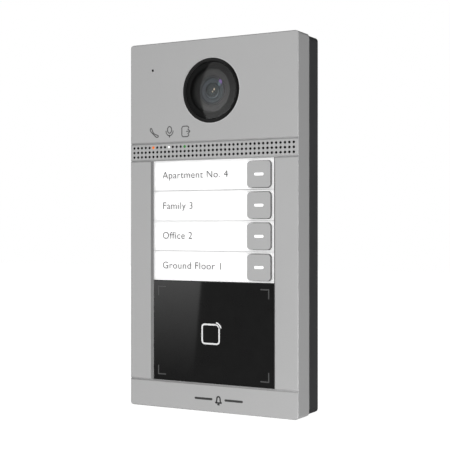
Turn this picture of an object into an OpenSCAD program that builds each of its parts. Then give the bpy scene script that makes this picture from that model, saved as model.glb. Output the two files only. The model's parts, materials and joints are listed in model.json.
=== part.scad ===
// Door intercom panel with camera, four call buttons and a card reader, hung on a steel wall plate.
// Frame: +Z up, the front looks along -Y, the wall is the plane y = 0, x = 0 is the middle.
// Depths count from the front face into the housing; the helpers slab, sheet and rod take them.

/* [Body] */
// Width of the front panel
body_w = 98.5; // [82:0.5:120]
// Height of the front panel
body_h = 190; // [158:1:230]
// From the wall to the front face
body_d = 24.3; // [22:0.1:30]
// Depth of the metal front shell
shell_d = 12.4; // [12:0.1:14]
// Radius of the front panel's four upright corners
corner_r = 2; // [1:0.1:5]
// Chamfer round the front edge
edge_chamfer = 0.4; // [0.2:0.1:0.8]
// Wall thickness of the front shell and the rear cover
wall = 2; // [1.6:0.1:2.4]
// How far the rear cover stands in from the front shell's sides
rear_inset = 0.35; // [0.1:0.05:1]
// Chamfer round the rear cover's back edge
rear_chamfer = 0.9; // [0.4:0.1:1.6]

/* [Camera] */
// From the top edge to the camera's axis
camera_drop = 26.5; // [25:0.5:32]
// Outside diameter of the camera's bezel
camera_d = 33; // [28:0.5:36]
// Width of the bezel's front ring
bezel_ring = 1.9; // [1.4:0.1:2.6]
// How far the dome stands out of the front face
dome_rise = 3; // [2:0.1:4]
// Diameter of the lens barrel's front
lens_d = 14.2; // [12:0.1:15]

/* [Grille and indicators] */
// From the top edge to the middle row of speaker holes
grille_drop = 56.93; // [55:0.01:64]
// Distance between speaker holes, both ways
hole_pitch = 2.4; // [2:0.1:3.2]
// Width across the flats of a speaker hole
hole_w = 1.1; // [0.8:0.05:1.4]
// Width of a V groove
groove_w = 1.2; // [0.8:0.1:1.6]
// Depth of a V groove
groove_depth = 0.85; // [0.4:0.05:1]

/* [Name rows and buttons] */
// From the panel's side to the opening's edge
side_margin = 12.7; // [12:0.1:14]
// From the bottom edge to the opening's lower edge
foot_margin = 14.5; // [14:0.5:18]
// Distance from row to row
row_pitch = 15.47; // [15.2:0.01:18]
// Side of a square button
button_w = 13.2; // [11:0.1:13.5]
// Corner radius of a button
button_r = 1.8; // [0.5:0.1:3]
// Gap round a button
button_gap = 0.3; // [0.25:0.05:0.45]
// How far a button travels
button_travel = 0.6; // [0.3:0.1:0.7]
// Length of the light bar on a button
bar_w = 5.4; // [3:0.1:8]

/* [Back] */
// Thickness of the steel wall plate
plate_t = 1.5; // [1.2:0.1:2]
// Diameter of the wall screw holes
wall_hole_d = 4.5; // [4:0.1:5.5]
// Travel of the tamper plunger
tamper_travel = 1.2; // [0.6:0.1:1.4]

/* [Hidden] */

$fn = 64;
// a cut runs this far past the face it opens
over = 1;
// clearance between fixed pieces that slot together
fit_gap = 0.3;
// radial clearance of a pin that slides in a guide
slide_gap = 0.08;
// wall of a light moulded part
thin = 1.2;

// outline and shell
front_y = -body_d;
joint_y = front_y + shell_d;
rear_w = body_w - 2 * rear_inset;
rear_h = body_h - 2 * rear_inset;
rear_r = corner_r + 0.6;
rear_wall = 2.2;

// seal in the rear cover's rim
seal_w = 1;
seal_t = 0.8;

// levels of the front stack, counted from the front face
lip_d = 1.3;
window_t = 1.2;
card_t = 0.3;
guide_t = 1.8;
card_front = lip_d + window_t;
guide_front = card_front + card_t;
guide_back = guide_front + guide_t;
frame_t = 2;
frame_back = guide_back + frame_t;
standoff_h = 2.7;
board_front = frame_back + standoff_h;
board_t = 1.6;
board_back = board_front + board_t;
board_back_y = front_y + board_back;

// opening in the front and the recessed stack behind it
rows = 4;
lip_w = 1.15;
pocket_w = 2.2;
pocket_gap = 0.3;
open_drop = 5.02;
open_w = body_w - 2 * side_margin;
open_top = body_h / 2 - grille_drop - open_drop;
open_bottom = foot_margin - body_h / 2;
label_bottom = open_top - rows * row_pitch;
open_h = open_top - open_bottom;
open_mid = (open_top + open_bottom) / 2;
pocket_grow = pocket_w - lip_w;
stack_w = open_w + 2 * (pocket_grow - pocket_gap);
stack_top = open_top + pocket_grow - pocket_gap;
stack_bottom = open_bottom - pocket_grow + pocket_gap;
row_gap = 0.3;
function row_z(i) = open_top - (i - 0.5) * row_pitch;

// speaker holes
grille_z = body_h / 2 - grille_drop;
columns = 1 + floor((body_w - 4) / hole_pitch);
function column_x(i) = (i - (columns - 1) / 2) * hole_pitch;
indicator_columns = [5, 9, 13];
indicator_z = grille_z + hole_pitch;
groove_rise = 4.6;
groove_zs = [grille_z + groove_rise, open_top + groove_w / 2, open_bottom - groove_w / 2];

// camera, all on one axis
camera_z = body_h / 2 - camera_drop;
bezel_r = camera_d / 2;
dome_r = bezel_r - bezel_ring;
dome_t = 1.3;
dome_seat = 1.5;
dome_edge = 0.2;
dome_ledge = 1.4;
dome_height = dome_rise + dome_edge;
dome_sphere_r = (dome_r * dome_r + dome_height * dome_height) / (2 * dome_height);
bezel_flange_r = bezel_r + 2.2;
bezel_back = wall + 2;
lens_front = 2.4;
lens_head = 5.6;
thread_r = 6;
sensor_plane = 15.5;
camera_board_t = 1.2;
camera_board_w = 2 * (bezel_r + 7.5);
camera_post_x = bezel_r + 5;
camera_post_r = 2.2;

// buttons and their switches
button_x = open_w / 2 - 9.25;
button_front = 0.3;
flange_front = guide_back + 0.3;
flange_t = 1;
flange_back = flange_front + flange_t;
flange_w = button_w + 2;
stem_r = 1.6;
stem_l = 0.3;
plunger_r = 1.7;
switch_w = 6;
switch_front = flange_back + stem_l + button_travel + 0.2;
cap_skin = 3.1;
bar_h = 1.5;
bar_t = cap_skin - 0.4 - button_front;
bar_gap = 0.05;

// retaining frame and its screws
post_r = 2;
standoff_r = 1.8;
frame_w = stack_w + 9.2;
bay_x = button_x + flange_w / 2 + 0.3;
bay_top = row_z(1) + button_w / 2 + 0.35;
bay_bottom = row_z(rows) - button_w / 2 - 0.35;
frame_screw_x = stack_w / 2 + 2.4;
frame_screw_zs = [open_top - 9, label_bottom + 3, open_bottom + 6];
board_screw_x = bay_x + post_r;
board_screw_zs = [open_top - 2.6, label_bottom + 8.5, open_bottom + 1];
screw_r = 1;
screw_head_r = 1.9;
screw_head_h = 1.2;

// housing screws, from the back into posts of the front shell
housing_x = body_w / 2 - 6.45;
housing_z = body_h / 2 - 8;
housing_points = [for (x = [-housing_x, housing_x]) for (z = [-housing_z, 0, housing_z]) [x, z]];
housing_screw_r = 1.5;
housing_post_r = 3.2;
housing_head_r = 2.75;
housing_head_h = 2;
housing_seat_y = -3.6;
cover_post_r = 4.2;

// main board
board_w = 2 * (board_screw_x + 2);
board_bottom = open_bottom - 1.6;
board_top = open_top + 0.8;
arm_top = board_top + 13.2;
arm_w = 28.4;

// reader
reader_top = label_bottom - row_gap / 2;
reader_mid = (reader_top + stack_bottom) / 2;
reader_t = 1.5;
antenna_w = stack_w - 14.6;
antenna_h = reader_top - stack_bottom - 10;
antenna_front = lip_d + reader_t + 0.4;
antenna_t = 1;

// speaker, to the right of the indicators
speaker_w = 36;
speaker_h = 16;
speaker_z = stack_top + fit_gap + speaker_h / 2;
// its round left end stays this far outside the bezel's flange
speaker_gap = 0.17;
speaker_reach = bezel_flange_r + speaker_gap + speaker_h / 2;
speaker_drop = camera_z - speaker_z;
speaker_clear = speaker_reach * speaker_reach - speaker_drop * speaker_drop;
speaker_x = sqrt(max(0, speaker_clear)) + (speaker_w - speaker_h) / 2;
mesh_t = 0.2;
gasket_t = 1;
gasket_w = 0.8;
speaker_front = wall + mesh_t + gasket_t;
speaker_d = 5;
magnet_r = 6;
magnet_h = 3;

// microphone
mic_x = 14.05 - body_w / 2;
mic_z = body_h / 2 - 14.1;
mic_r = 3;
boot_r = 4;
boot_l = 4.2;

// wall plate, hooks and wall screws
plate_w = body_w - 26.5;
plate_h = body_h - 34;
plate_r = 4;
screw_dx = plate_w - 16;
screw_dz = plate_h - 36;
wall_points = [for (x = [-1, 1]) for (z = [-1, 1]) [x * screw_dx / 2, z * screw_dz / 2]];
head_pocket_r = 5.5;
head_pocket_d = 2.9;
floor_t = 2.3;
floor_y = -plate_t - floor_t;
hook_x = 12;
hook_w = 8;
hook_t = 1.4;
hook_rise = 4;
hook_lift = 4.5;

// wiring well with the jack and the terminals
well_w = 46;
well_h = 48;
well_top = open_top - 5;
well_mid = well_top - well_h / 2;
well_d = 6;
well_margin = 2;
terminal_w = 30;
terminal_h = 9;
terminal_z = well_top - well_margin - terminal_h / 2;
terminals = 8;
terminal_pitch = 3.5;
jack_w = 16;
jack_h = 14;
jack_x = well_margin + (jack_w - well_w) / 2;
jack_z = terminal_z - terminal_h / 2 - well_margin - jack_h / 2;
jack_set_back = 1.9;
socket_w = 11.8;
socket_h = 8.4;
hook_zs = [well_top + 12, well_top - well_h - 12];

// security screw at the foot
tongue_w = 16;
flange_z = 6.5 - body_h / 2;
flange_y = -6;
security_r = 1.5;
security_head_r = 2.75;
security_head_h = 2;

// tamper plunger
tamper_x = 7 - plate_w / 2;
tamper_z = open_top + 9;
tamper_r = 2;
tamper_tail_r = 1.5;
tamper_switch_h = 3.5;
tamper_shoulder = -board_back_y - tamper_switch_h - tamper_travel - fit_gap;
tamper_length = tamper_shoulder + 2.6;

// A rectangle with round corners, about its middle.
module round_rect(w, h, r) {
    square([w - 2 * r, h], center = true);
    square([w, h - 2 * r], center = true);
    for (x = [-1, 1])
        for (z = [-1, 1])
            translate([x * (w / 2 - r), z * (h / 2 - r)])
                circle(r = r);
}

// A flat shape drawn in x and z, from depth d0 to depth d1.
module sheet(d0, d1) {
    translate([0, front_y + d1, 0])
        rotate([90, 0, 0])
            linear_extrude(d1 - d0)
                children();
}

// A flat shape drawn in x and z, from the plane y0 to the plane y1.
module layer(y0, y1) {
    sheet(y0 - front_y, y1 - front_y)
        children();
}

// A box from corner to corner in x and z, and from depth d0 to depth d1.
module slab(x0, x1, z0, z1, d0, d1) {
    translate([x0, front_y + d0, z0])
        cube([x1 - x0, d1 - d0, z1 - z0]);
}

// A round bar along the depth.
module rod(x, z, r, d0, d1) {
    translate([x, front_y + d0, z])
        rotate([-90, 0, 0])
            cylinder(h = d1 - d0, r = r);
}

// A turned shape about the camera's axis; the outline is [radius, depth].
module turned(outline) {
    translate([0, front_y, camera_z])
        rotate([-90, 0, 0])
            rotate_extrude()
                polygon(outline);
}

// A profile in y and z carried the whole width w.
module run_x(w, outline) {
    translate([-w / 2, 0, 0])
        rotate([90, 0, 90])
            linear_extrude(w)
                polygon(outline);
}

// A profile in x and y carried the whole height h.
module run_z(h, outline) {
    translate([0, 0, -h / 2])
        linear_extrude(h)
            polygon(outline);
}

// A block from y0 to y1 whose edges are chamfered by c0 at y0 and c1 at y1.
module chamfered(w, h, r, y0, y1, c0, c1) {
    intersection() {
        layer(y0, y1)
            round_rect(w, h, r);
        run_z(h + 2 * over, [
            [c0 - w / 2, y0], [w / 2 - c0, y0], [w / 2, y0 + c0], [w / 2, y1 - c1],
            [w / 2 - c1, y1], [c1 - w / 2, y1], [-w / 2, y1 - c1], [-w / 2, y0 + c0],
        ]);
        run_x(w + 2 * over, [
            [y0, c0 - h / 2], [y0, h / 2 - c0], [y0 + c0, h / 2], [y1 - c1, h / 2],
            [y1, h / 2 - c1], [y1, c1 - h / 2], [y1 - c1, -h / 2], [y0 + c0, -h / 2],
        ]);
    }
}

// The funnel of the opening: lip_w narrower all round at the bottom of the lip.
module opening_funnel() {
    half_w = open_w / 2;
    half_h = open_h / 2;
    slope = lip_w / lip_d;
    out = over * slope;
    y0 = front_y - over;
    y1 = front_y + lip_d + over;
    in = lip_w + out;
    translate([0, 0, open_mid])
        intersection() {
            run_z(2 * half_h + 2 * out, [
                [-half_w - out, y0], [half_w + out, y0], [half_w - in, y1], [in - half_w, y1],
            ]);
            run_x(2 * half_w + 2 * out, [
                [y0, -half_h - out], [y0, half_h + out], [y1, half_h], [y1, -half_h],
            ]);
        }
}

// A self-tapping screw with a flat round head; the head's underside sits at depth seat.
module tapping_screw(x, z, seat, length) {
    rod(x, z, screw_head_r, seat, seat + screw_head_h);
    rod(x, z, screw_r, seat - length, seat);
}

module frame_points() {
    for (x = [-frame_screw_x, frame_screw_x])
        for (z = frame_screw_zs)
            translate([x, 0, z])
                children();
}

module board_points() {
    for (x = [-board_screw_x, board_screw_x])
        for (z = board_screw_zs)
            translate([x, 0, z])
                children();
}

module camera_points() {
    for (x = [-camera_post_x, camera_post_x])
        translate([x, 0, camera_z])
            children();
}

module front_panel() {
    color("silver") {
        difference() {
            chamfered(body_w, body_h, corner_r, front_y, joint_y, edge_chamfer, 0);
            sheet(wall, shell_d + over)
                round_rect(body_w - 2 * wall, body_h - 2 * wall, corner_r / 2);
            opening_funnel();
            sheet(lip_d, wall + over)
                translate([0, open_mid])
                    square([open_w + 2 * pocket_grow, open_h + 2 * pocket_grow], center = true);
            for (z = groove_zs)
                run_x(body_w + 2 * over, [
                    [front_y - over, z + groove_w * (0.5 + over / groove_depth / 2)],
                    [front_y - over, z - groove_w * (0.5 + over / groove_depth / 2)],
                    [front_y + groove_depth, z],
                ]);
            speaker_holes();
            rod(0, camera_z, bezel_r + slide_gap, -over, wall + over);
            rod(mic_x, mic_z, hole_w / 2, -over, wall + over);
        }
        for (p = housing_points)
            post(p.x, p.y, housing_post_r, housing_screw_r, shell_d);
        frame_points()
            post(0, 0, post_r, screw_r, guide_back);
        camera_points()
            post(0, 0, camera_post_r, screw_r, sensor_plane);
        difference() {
            rod(mic_x, mic_z, boot_r + thin, wall - 0.1, wall + boot_l - 1);
            rod(mic_x, mic_z, boot_r, wall - over, wall + boot_l);
        }
    }
}

// A screw post that stands on the inside of the front wall and ends at depth top.
module post(x, z, outer, bore, top) {
    difference() {
        rod(x, z, outer, wall - 0.1, top);
        rod(x, z, bore, wall + 0.4, top + over);
    }
}

module speaker_holes() {
    for (i = [0 : columns - 1])
        for (j = [-1 : 1])
            translate([column_x(i), front_y + wall + over, grille_z + j * hole_pitch])
                rotate([90, 15, 0])
                    cylinder(h = wall + 2 * over, d = hole_w, $fn = 12);
}

module rear_cover() {
    color([0.22, 0.22, 0.24]) {
        difference() {
            union() {
                difference() {
                    chamfered(rear_w, rear_h, rear_r, joint_y, 0, 0, rear_chamfer);
                    layer(joint_y - over, -rear_wall)
                        round_rect(rear_w - 2 * wall, rear_h - 2 * wall, corner_r / 2);
                }
                layer(floor_y, -rear_wall)
                    round_rect(plate_w + 4, plate_h + 4, plate_r + 2);
                for (p = housing_points)
                    layer(joint_y, -1)
                        translate(p)
                            circle(r = cover_post_r);
                for (p = wall_points)
                    layer(-plate_t - head_pocket_d - thin, -rear_wall)
                        translate(p)
                            circle(r = head_pocket_r + thin);
                layer(-plate_t - well_d - thin, -rear_wall)
                    translate([0, well_mid])
                        round_rect(well_w + 2 * thin, well_h + 2 * thin, 3);
                translate([0, flange_y, wall - rear_h / 2 - 0.1])
                    cylinder(h = 2.2, r = 4.4);
                layer(-11, -rear_wall)
                    translate([0, -rear_h / 2 + wall + 3])
                        square([tongue_w + 4, 6.2], center = true);
                layer(floor_y - 2, -rear_wall)
                    translate([tamper_x, tamper_z])
                        circle(r = tamper_r + 2);
            }
            // recess for the plate and its tongue
            layer(-plate_t, over)
                plate_outline(fit_gap);
            // seal groove in the rim
            layer(joint_y - over, joint_y + seal_t)
                seal_ring();
            // housing screws, with heads sunk in the back
            for (p = housing_points) {
                layer(joint_y - over, over)
                    translate(p)
                        circle(r = housing_screw_r + 0.2);
                layer(housing_seat_y, over)
                    translate(p)
                        circle(r = housing_head_r + fit_gap);
            }
            // room for the heads of the wall screws
            for (p = wall_points)
                layer(-plate_t - head_pocket_d, over)
                    translate(p)
                        circle(r = head_pocket_r);
            // wiring well, with holes in its floor for the jack and the terminals
            layer(-plate_t - well_d, over)
                translate([0, well_mid])
                    round_rect(well_w, well_h, 2);
            layer(joint_y, over)
                translate([jack_x, jack_z])
                    square([jack_w + 2 * fit_gap, jack_h + 2 * fit_gap], center = true);
            layer(joint_y, over)
                translate([0, terminal_z])
                    square([terminal_w + 2 * fit_gap, terminal_h + 2 * fit_gap], center = true);
            // slots that the plate's hooks pass through
            for (x = [-hook_x, hook_x])
                for (z = hook_zs)
                    layer(joint_y, over)
                        translate([x - hook_w / 2 - fit_gap, z - hook_t / 2 - fit_gap - hook_lift])
                            square([hook_w + 2 * fit_gap, hook_t + 2 * fit_gap + hook_lift]);
            // chamber for the plate's foot flange, and the security screw's way in
            translate([-tongue_w / 2 - fit_gap, flange_y - 3.8, flange_z - plate_t - fit_gap])
                cube([tongue_w + 2 * fit_gap, 12, plate_t + 2 * fit_gap]);
            translate([0, flange_y, -body_h / 2 - over])
                cylinder(h = 14, r = security_r + 0.2);
            translate([0, flange_y, -body_h / 2 - over])
                cylinder(h = over + rear_inset + 0.4 + security_head_h, r = security_head_r + fit_gap);
            // guide of the tamper plunger
            layer(joint_y, over)
                translate([tamper_x, tamper_z])
                    circle(r = tamper_r + slide_gap);
        }
    }
}

// The seal's centre line runs round the middle of the rim.
module seal_ring() {
    difference() {
        round_rect(rear_w - wall + seal_w, rear_h - wall + seal_w, rear_r - wall / 2 + seal_w / 2);
        round_rect(rear_w - wall - seal_w, rear_h - wall - seal_w, rear_r - wall / 2 - seal_w / 2);
    }
}

module housing_seal() {
    color("dimgray")
        layer(joint_y, joint_y + seal_t)
            seal_ring();
}

module housing_screws() {
    color("gray")
        for (p = housing_points) {
            layer(housing_seat_y, housing_seat_y + housing_head_h)
                translate(p)
                    difference() {
                        circle(r = housing_head_r);
                        circle(r = 1, $fn = 6);
                    }
            layer(front_y + wall + 2, housing_seat_y)
                translate(p)
                    circle(r = housing_screw_r);
        }
}

// The plate with its tongue at the foot, grown by gap all round.
module plate_outline(gap) {
    round_rect(plate_w + 2 * gap, plate_h + 2 * gap, plate_r + gap);
    translate([-tongue_w / 2 - gap, flange_z - plate_t - gap])
        square([tongue_w + 2 * gap, -flange_z - plate_h / 2 + 10]);
}

module wall_plate() {
    color("lightgray") {
        difference() {
            layer(-plate_t, 0)
                plate_outline(0);
            layer(-plate_t - over, over)
                translate([0, well_mid])
                    round_rect(well_w - 2, well_h - 2, 3);
            for (p = wall_points)
                layer(-plate_t - over, over)
                    translate(p)
                        circle(d = wall_hole_d);
            layer(-plate_t - over, over)
                translate([tamper_x, tamper_z])
                    circle(r = tamper_r + 1);
            for (x = [-hook_x, hook_x])
                for (z = hook_zs)
                    layer(-plate_t - over, over)
                        translate([x - hook_w / 2, z + hook_t / 2])
                            square([hook_w, hook_rise]);
        }
        for (x = [-hook_x, hook_x])
            for (z = hook_zs)
                hook(x, z);
        difference() {
            translate([-tongue_w / 2, flange_y - 3.5, flange_z - plate_t])
                cube([tongue_w, 3.5 - flange_y - 0.1, plate_t]);
            translate([0, flange_y, flange_z - plate_t - over])
                cylinder(h = plate_t + 2 * over, r = security_r + slide_gap);
        }
    }
}

// A tab bent out of the plate, then turned up behind the cover's floor.
module hook(x, z) {
    back = floor_y - 0.3;
    translate([x - hook_w / 2, back - hook_t, z - hook_t / 2])
        cube([hook_w, hook_t - back - 0.1, hook_t]);
    translate([x - hook_w / 2, back - hook_t, z - hook_t / 2])
        cube([hook_w, hook_t, hook_t + hook_rise]);
}

module security_screw() {
    color("gray")
        translate([0, flange_y, 0.4 - rear_h / 2]) {
            difference() {
                cylinder(h = security_head_h, r = security_head_r);
                translate([0, 0, -over])
                    cylinder(h = over + 1.2, r = 1, $fn = 6);
            }
            cylinder(h = security_head_h + 7, r = security_r);
        }
}

module camera_bezel() {
    color("black")
        turned([
            [dome_r + slide_gap, 0.3], [dome_r + 0.4, -0.3], [bezel_r - 0.3, -0.3], [bezel_r, 0],
            [bezel_r, wall], [bezel_flange_r, wall], [bezel_flange_r, wall + thin],
            [bezel_r, wall + thin], [bezel_r, bezel_back], [dome_r - dome_ledge, bezel_back],
            [dome_r - dome_ledge, dome_seat], [dome_r + slide_gap, dome_seat],
        ]);
}

module camera_dome() {
    color([0.6, 0.65, 0.7, 0.4])
        difference() {
            intersection() {
                rod(0, camera_z, dome_r, -dome_rise - over, dome_seat);
                translate([0, front_y - dome_rise + dome_sphere_r, camera_z])
                    sphere(r = dome_sphere_r, $fn = 160);
            }
            intersection() {
                rod(0, camera_z, dome_r - dome_ledge, -dome_rise - over, dome_seat + over);
                translate([0, front_y - dome_rise + dome_sphere_r, camera_z])
                    sphere(r = dome_sphere_r - dome_t, $fn = 160);
            }
        }
}

module camera_baffle() {
    color("black")
        turned([
            [lens_d / 2 + 0.3, lens_front + 1], [dome_r - dome_ledge - 0.2, dome_seat + 0.6],
            [dome_r - dome_ledge - 0.2, bezel_back], [bezel_r, bezel_back],
            [bezel_r, bezel_back + 1], [lens_d / 2 + 0.3, bezel_back + 1],
        ]);
}

module lens_barrel() {
    mouth = lens_d / 2 - 0.6;
    glass = lens_d / 2 - 2.5;
    color([0.15, 0.15, 0.16])
        turned([
            [mouth, lens_front], [lens_d / 2, lens_front], [lens_d / 2, lens_front + lens_head],
            [thread_r, lens_front + lens_head], [thread_r, sensor_plane - 2.5], [3, sensor_plane - 2.5],
            [3, lens_front + 3.2], [glass, lens_front + 3.2], [glass, lens_front + 1],
        ]);
}

module front_lens() {
    glass = lens_d / 2 - 2.5;
    dome = 40;
    color([0.3, 0.3, 0.5, 0.6])
        intersection() {
            rod(0, camera_z, glass, lens_front, lens_front + 3.2);
            translate([0, front_y + lens_front + 0.9 + dome, camera_z])
                sphere(r = dome, $fn = 160);
        }
}

module lens_holder() {
    half = thread_r + 3;
    color("black")
        difference() {
            union() {
                rod(0, camera_z, thread_r + 2, lens_front + lens_head + 0.5, sensor_plane - 2);
                slab(-half, half, camera_z - half, camera_z + half, sensor_plane - 3, sensor_plane);
            }
            rod(0, camera_z, thread_r + 0.05, lens_front, sensor_plane - 1.8);
            slab(2 - half, half - 2, camera_z + 2 - half, camera_z + half - 2,
                 sensor_plane - 2, sensor_plane + over);
        }
}

module image_sensor() {
    color("darkslategray")
        slab(-4, 4, camera_z - 4, camera_z + 4, sensor_plane - 1, sensor_plane);
}

module camera_board() {
    half_h = bezel_r - 5.5;
    color("darkgreen")
        difference() {
            slab(-camera_board_w / 2, camera_board_w / 2, camera_z - half_h, camera_z + half_h,
                 sensor_plane, sensor_plane + camera_board_t);
            camera_points()
                rod(0, 0, screw_r + 0.1, sensor_plane - over, sensor_plane + camera_board_t + over);
        }
}

module microphone() {
    color("silver")
        difference() {
            rod(mic_x, mic_z, mic_r - 0.05, wall + 1, wall + 3.7);
            rod(mic_x, mic_z, 1, wall, wall + 1.4);
        }
}

module microphone_boot() {
    color([0.1, 0.1, 0.1])
        difference() {
            rod(mic_x, mic_z, boot_r, wall, wall + boot_l);
            rod(mic_x, mic_z, mic_r, wall + 1, wall + boot_l + over);
            rod(mic_x, mic_z, hole_w / 2, wall - over, wall + 1 + over);
        }
}

// A light pipe whose thin nose fills one speaker hole.
module indicator(i, tint) {
    x = column_x(indicator_columns[i]);
    color(tint) {
        rod(x, indicator_z, hole_w / 2 - 0.1, 0.1, wall + 0.3);
        rod(x, indicator_z, 1, wall + 0.2 + mesh_t, board_front - 1.3);
    }
}

module indicator_call() {
    indicator(0, "orange");
}

module indicator_talk() {
    indicator(1, "white");
}

module indicator_unlock() {
    indicator(2, "green");
}

module speaker_frame() {
    inner_w = speaker_w - 2 * thin;
    inner_h = speaker_h - 2 * thin;
    color([0.2, 0.2, 0.2])
        translate([speaker_x, 0, speaker_z])
            difference() {
                sheet(speaker_front, speaker_front + speaker_d)
                    round_rect(speaker_w, speaker_h, speaker_h / 2 - 0.1);
                sheet(speaker_front - over, speaker_front + speaker_d - thin)
                    round_rect(inner_w, inner_h, inner_h / 2 - 0.1);
                rod(0, 0, magnet_r - 1, speaker_front, speaker_front + speaker_d + over);
            }
}

module speaker_cone() {
    inner_w = speaker_w - 2 * thin - 0.1;
    inner_h = speaker_h - 2 * thin - 0.1;
    color([0.3, 0.28, 0.25])
        translate([speaker_x, 0, speaker_z]) {
            sheet(speaker_front + 0.6, speaker_front + 0.9)
                round_rect(inner_w, inner_h, inner_h / 2 - 0.1);
            rod(0, 0, 3.5, speaker_front + 0.8, speaker_front + 3);
        }
}

module speaker_magnet() {
    color("dimgray")
        translate([speaker_x, 0, speaker_z])
            rod(0, 0, magnet_r, speaker_front + speaker_d, speaker_front + speaker_d + magnet_h);
}

module speaker_gasket() {
    color([0.12, 0.12, 0.12])
        translate([speaker_x, 0, speaker_z])
            sheet(wall + mesh_t, speaker_front)
                difference() {
                    round_rect(speaker_w, speaker_h, speaker_h / 2 - 0.1);
                    round_rect(speaker_w - 2 * gasket_w, speaker_h - 2 * gasket_w,
                               speaker_h / 2 - gasket_w - 0.1);
                }
}

module grille_mesh() {
    half_h = hole_pitch + hole_w / 2 + 0.4;
    half_w = body_w / 2 - wall - 0.1;
    color([0.1, 0.1, 0.1])
        difference() {
            slab(-half_w, half_w, grille_z - half_h, grille_z + half_h, wall, wall + mesh_t);
            for (c = indicator_columns)
                rod(column_x(c), indicator_z, hole_w / 2, wall - over, wall + over);
        }
}

// The square hole that a button passes through, in a sheet of the front stack.
module button_hole(i) {
    translate([button_x, row_z(i)])
        round_rect(button_w + 2 * button_gap, button_w + 2 * button_gap, button_r + button_gap);
}

// One row of the front stack, from depth d0 to d1.
module row_sheet(i, d0, d1) {
    top = i == 1 ? stack_top : row_z(i) + (row_pitch - row_gap) / 2;
    bottom = row_z(i) - (row_pitch - row_gap) / 2;
    sheet(d0, d1)
        difference() {
            translate([-stack_w / 2, bottom])
                square([stack_w, top - bottom]);
            button_hole(i);
        }
}

module name_window(i) {
    color([0.85, 0.9, 0.95, 0.3])
        row_sheet(i, lip_d, card_front);
}

module name_card(i) {
    color("white")
        row_sheet(i, card_front, guide_front);
}

module name_window_1() { name_window(1); }
module name_window_2() { name_window(2); }
module name_window_3() { name_window(3); }
module name_window_4() { name_window(4); }
module name_card_1() { name_card(1); }
module name_card_2() { name_card(2); }
module name_card_3() { name_card(3); }
module name_card_4() { name_card(4); }

module light_guide() {
    color("ghostwhite")
        sheet(guide_front, guide_back)
            difference() {
                translate([-stack_w / 2, label_bottom + row_gap / 2])
                    square([stack_w, stack_top - label_bottom - row_gap / 2]);
                for (i = [1 : rows])
                    button_hole(i);
            }
}

// The bar of light in the middle of a button, grown by gap all round.
module bar_shape(gap) {
    translate([button_x, 0])
        round_rect(bar_w + 2 * gap, bar_h + 2 * gap, bar_h / 2 + gap - 0.01);
}

// A hollow cap with side tabs behind the light guide and a stem that meets the switch.
module call_button(i) {
    pocket = button_w - 2 * thin;
    color([0.7, 0.7, 0.71])
        translate([0, 0, row_z(i)]) {
            difference() {
                union() {
                    sheet(button_front, flange_back)
                        translate([button_x, 0])
                            round_rect(button_w, button_w, button_r);
                    sheet(flange_front, flange_back)
                        translate([button_x, 0])
                            square([flange_w, button_w - 2 * button_r], center = true);
                }
                sheet(button_front - over, button_front + bar_t)
                    bar_shape(bar_gap);
                sheet(cap_skin, flange_back + over)
                    translate([button_x, 0])
                        round_rect(pocket, pocket, button_r - 0.6);
            }
            rod(button_x, 0, stem_r, cap_skin - 0.1, flange_back + stem_l);
        }
}

module button_light(i) {
    color("white")
        translate([0, 0, row_z(i)])
            sheet(button_front, button_front + bar_t)
                bar_shape(0);
}

module switch_plunger(i) {
    top = flange_back + stem_l;
    color("gold") {
        rod(button_x, row_z(i), plunger_r, top, top + 1.6);
        rod(button_x, row_z(i), plunger_r + 0.4, top + 1.5, top + 2);
    }
}

module call_button_1() { call_button(1); }
module call_button_2() { call_button(2); }
module call_button_3() { call_button(3); }
module call_button_4() { call_button(4); }
module button_light_1() { button_light(1); }
module button_light_2() { button_light(2); }
module button_light_3() { button_light(3); }
module button_light_4() { button_light(4); }
module switch_plunger_1() { switch_plunger(1); }
module switch_plunger_2() { switch_plunger(2); }
module switch_plunger_3() { switch_plunger(3); }
module switch_plunger_4() { switch_plunger(4); }

module switch_housings() {
    half = switch_w / 2;
    top = flange_back + stem_l;
    color([0.15, 0.15, 0.15])
        for (i = [1 : rows])
            difference() {
                slab(button_x - half, button_x + half, row_z(i) - half, row_z(i) + half,
                     switch_front, board_front);
                rod(button_x, row_z(i), plunger_r + slide_gap, switch_front - over, board_front - 1);
                rod(button_x, row_z(i), plunger_r + 0.6, top + 1.4, board_front - 0.3);
            }
}

module board_leds() {
    color("lightyellow") {
        for (i = [1 : rows])
            for (x = [button_x - 5, -button_x])
                slab(x - 0.8, x + 0.8, row_z(i) - 0.5, row_z(i) + 0.5, board_front - 0.8, board_front);
        for (c = indicator_columns)
            slab(column_x(c) - 0.8, column_x(c) + 0.8, indicator_z - 0.5, indicator_z + 0.5,
                 board_front - 0.8, board_front);
    }
}

module reader_cover() {
    color([0.08, 0.08, 0.08])
        slab(-stack_w / 2, stack_w / 2, stack_bottom, reader_top, lip_d, lip_d + reader_t);
}

module antenna_board() {
    color("darkgreen")
        translate([0, 0, reader_mid])
            sheet(antenna_front, antenna_front + antenna_t)
                difference() {
                    round_rect(antenna_w, antenna_h, 1.5);
                    round_rect(antenna_w - 16, antenna_h - 6, 1.5);
                }
}

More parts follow.
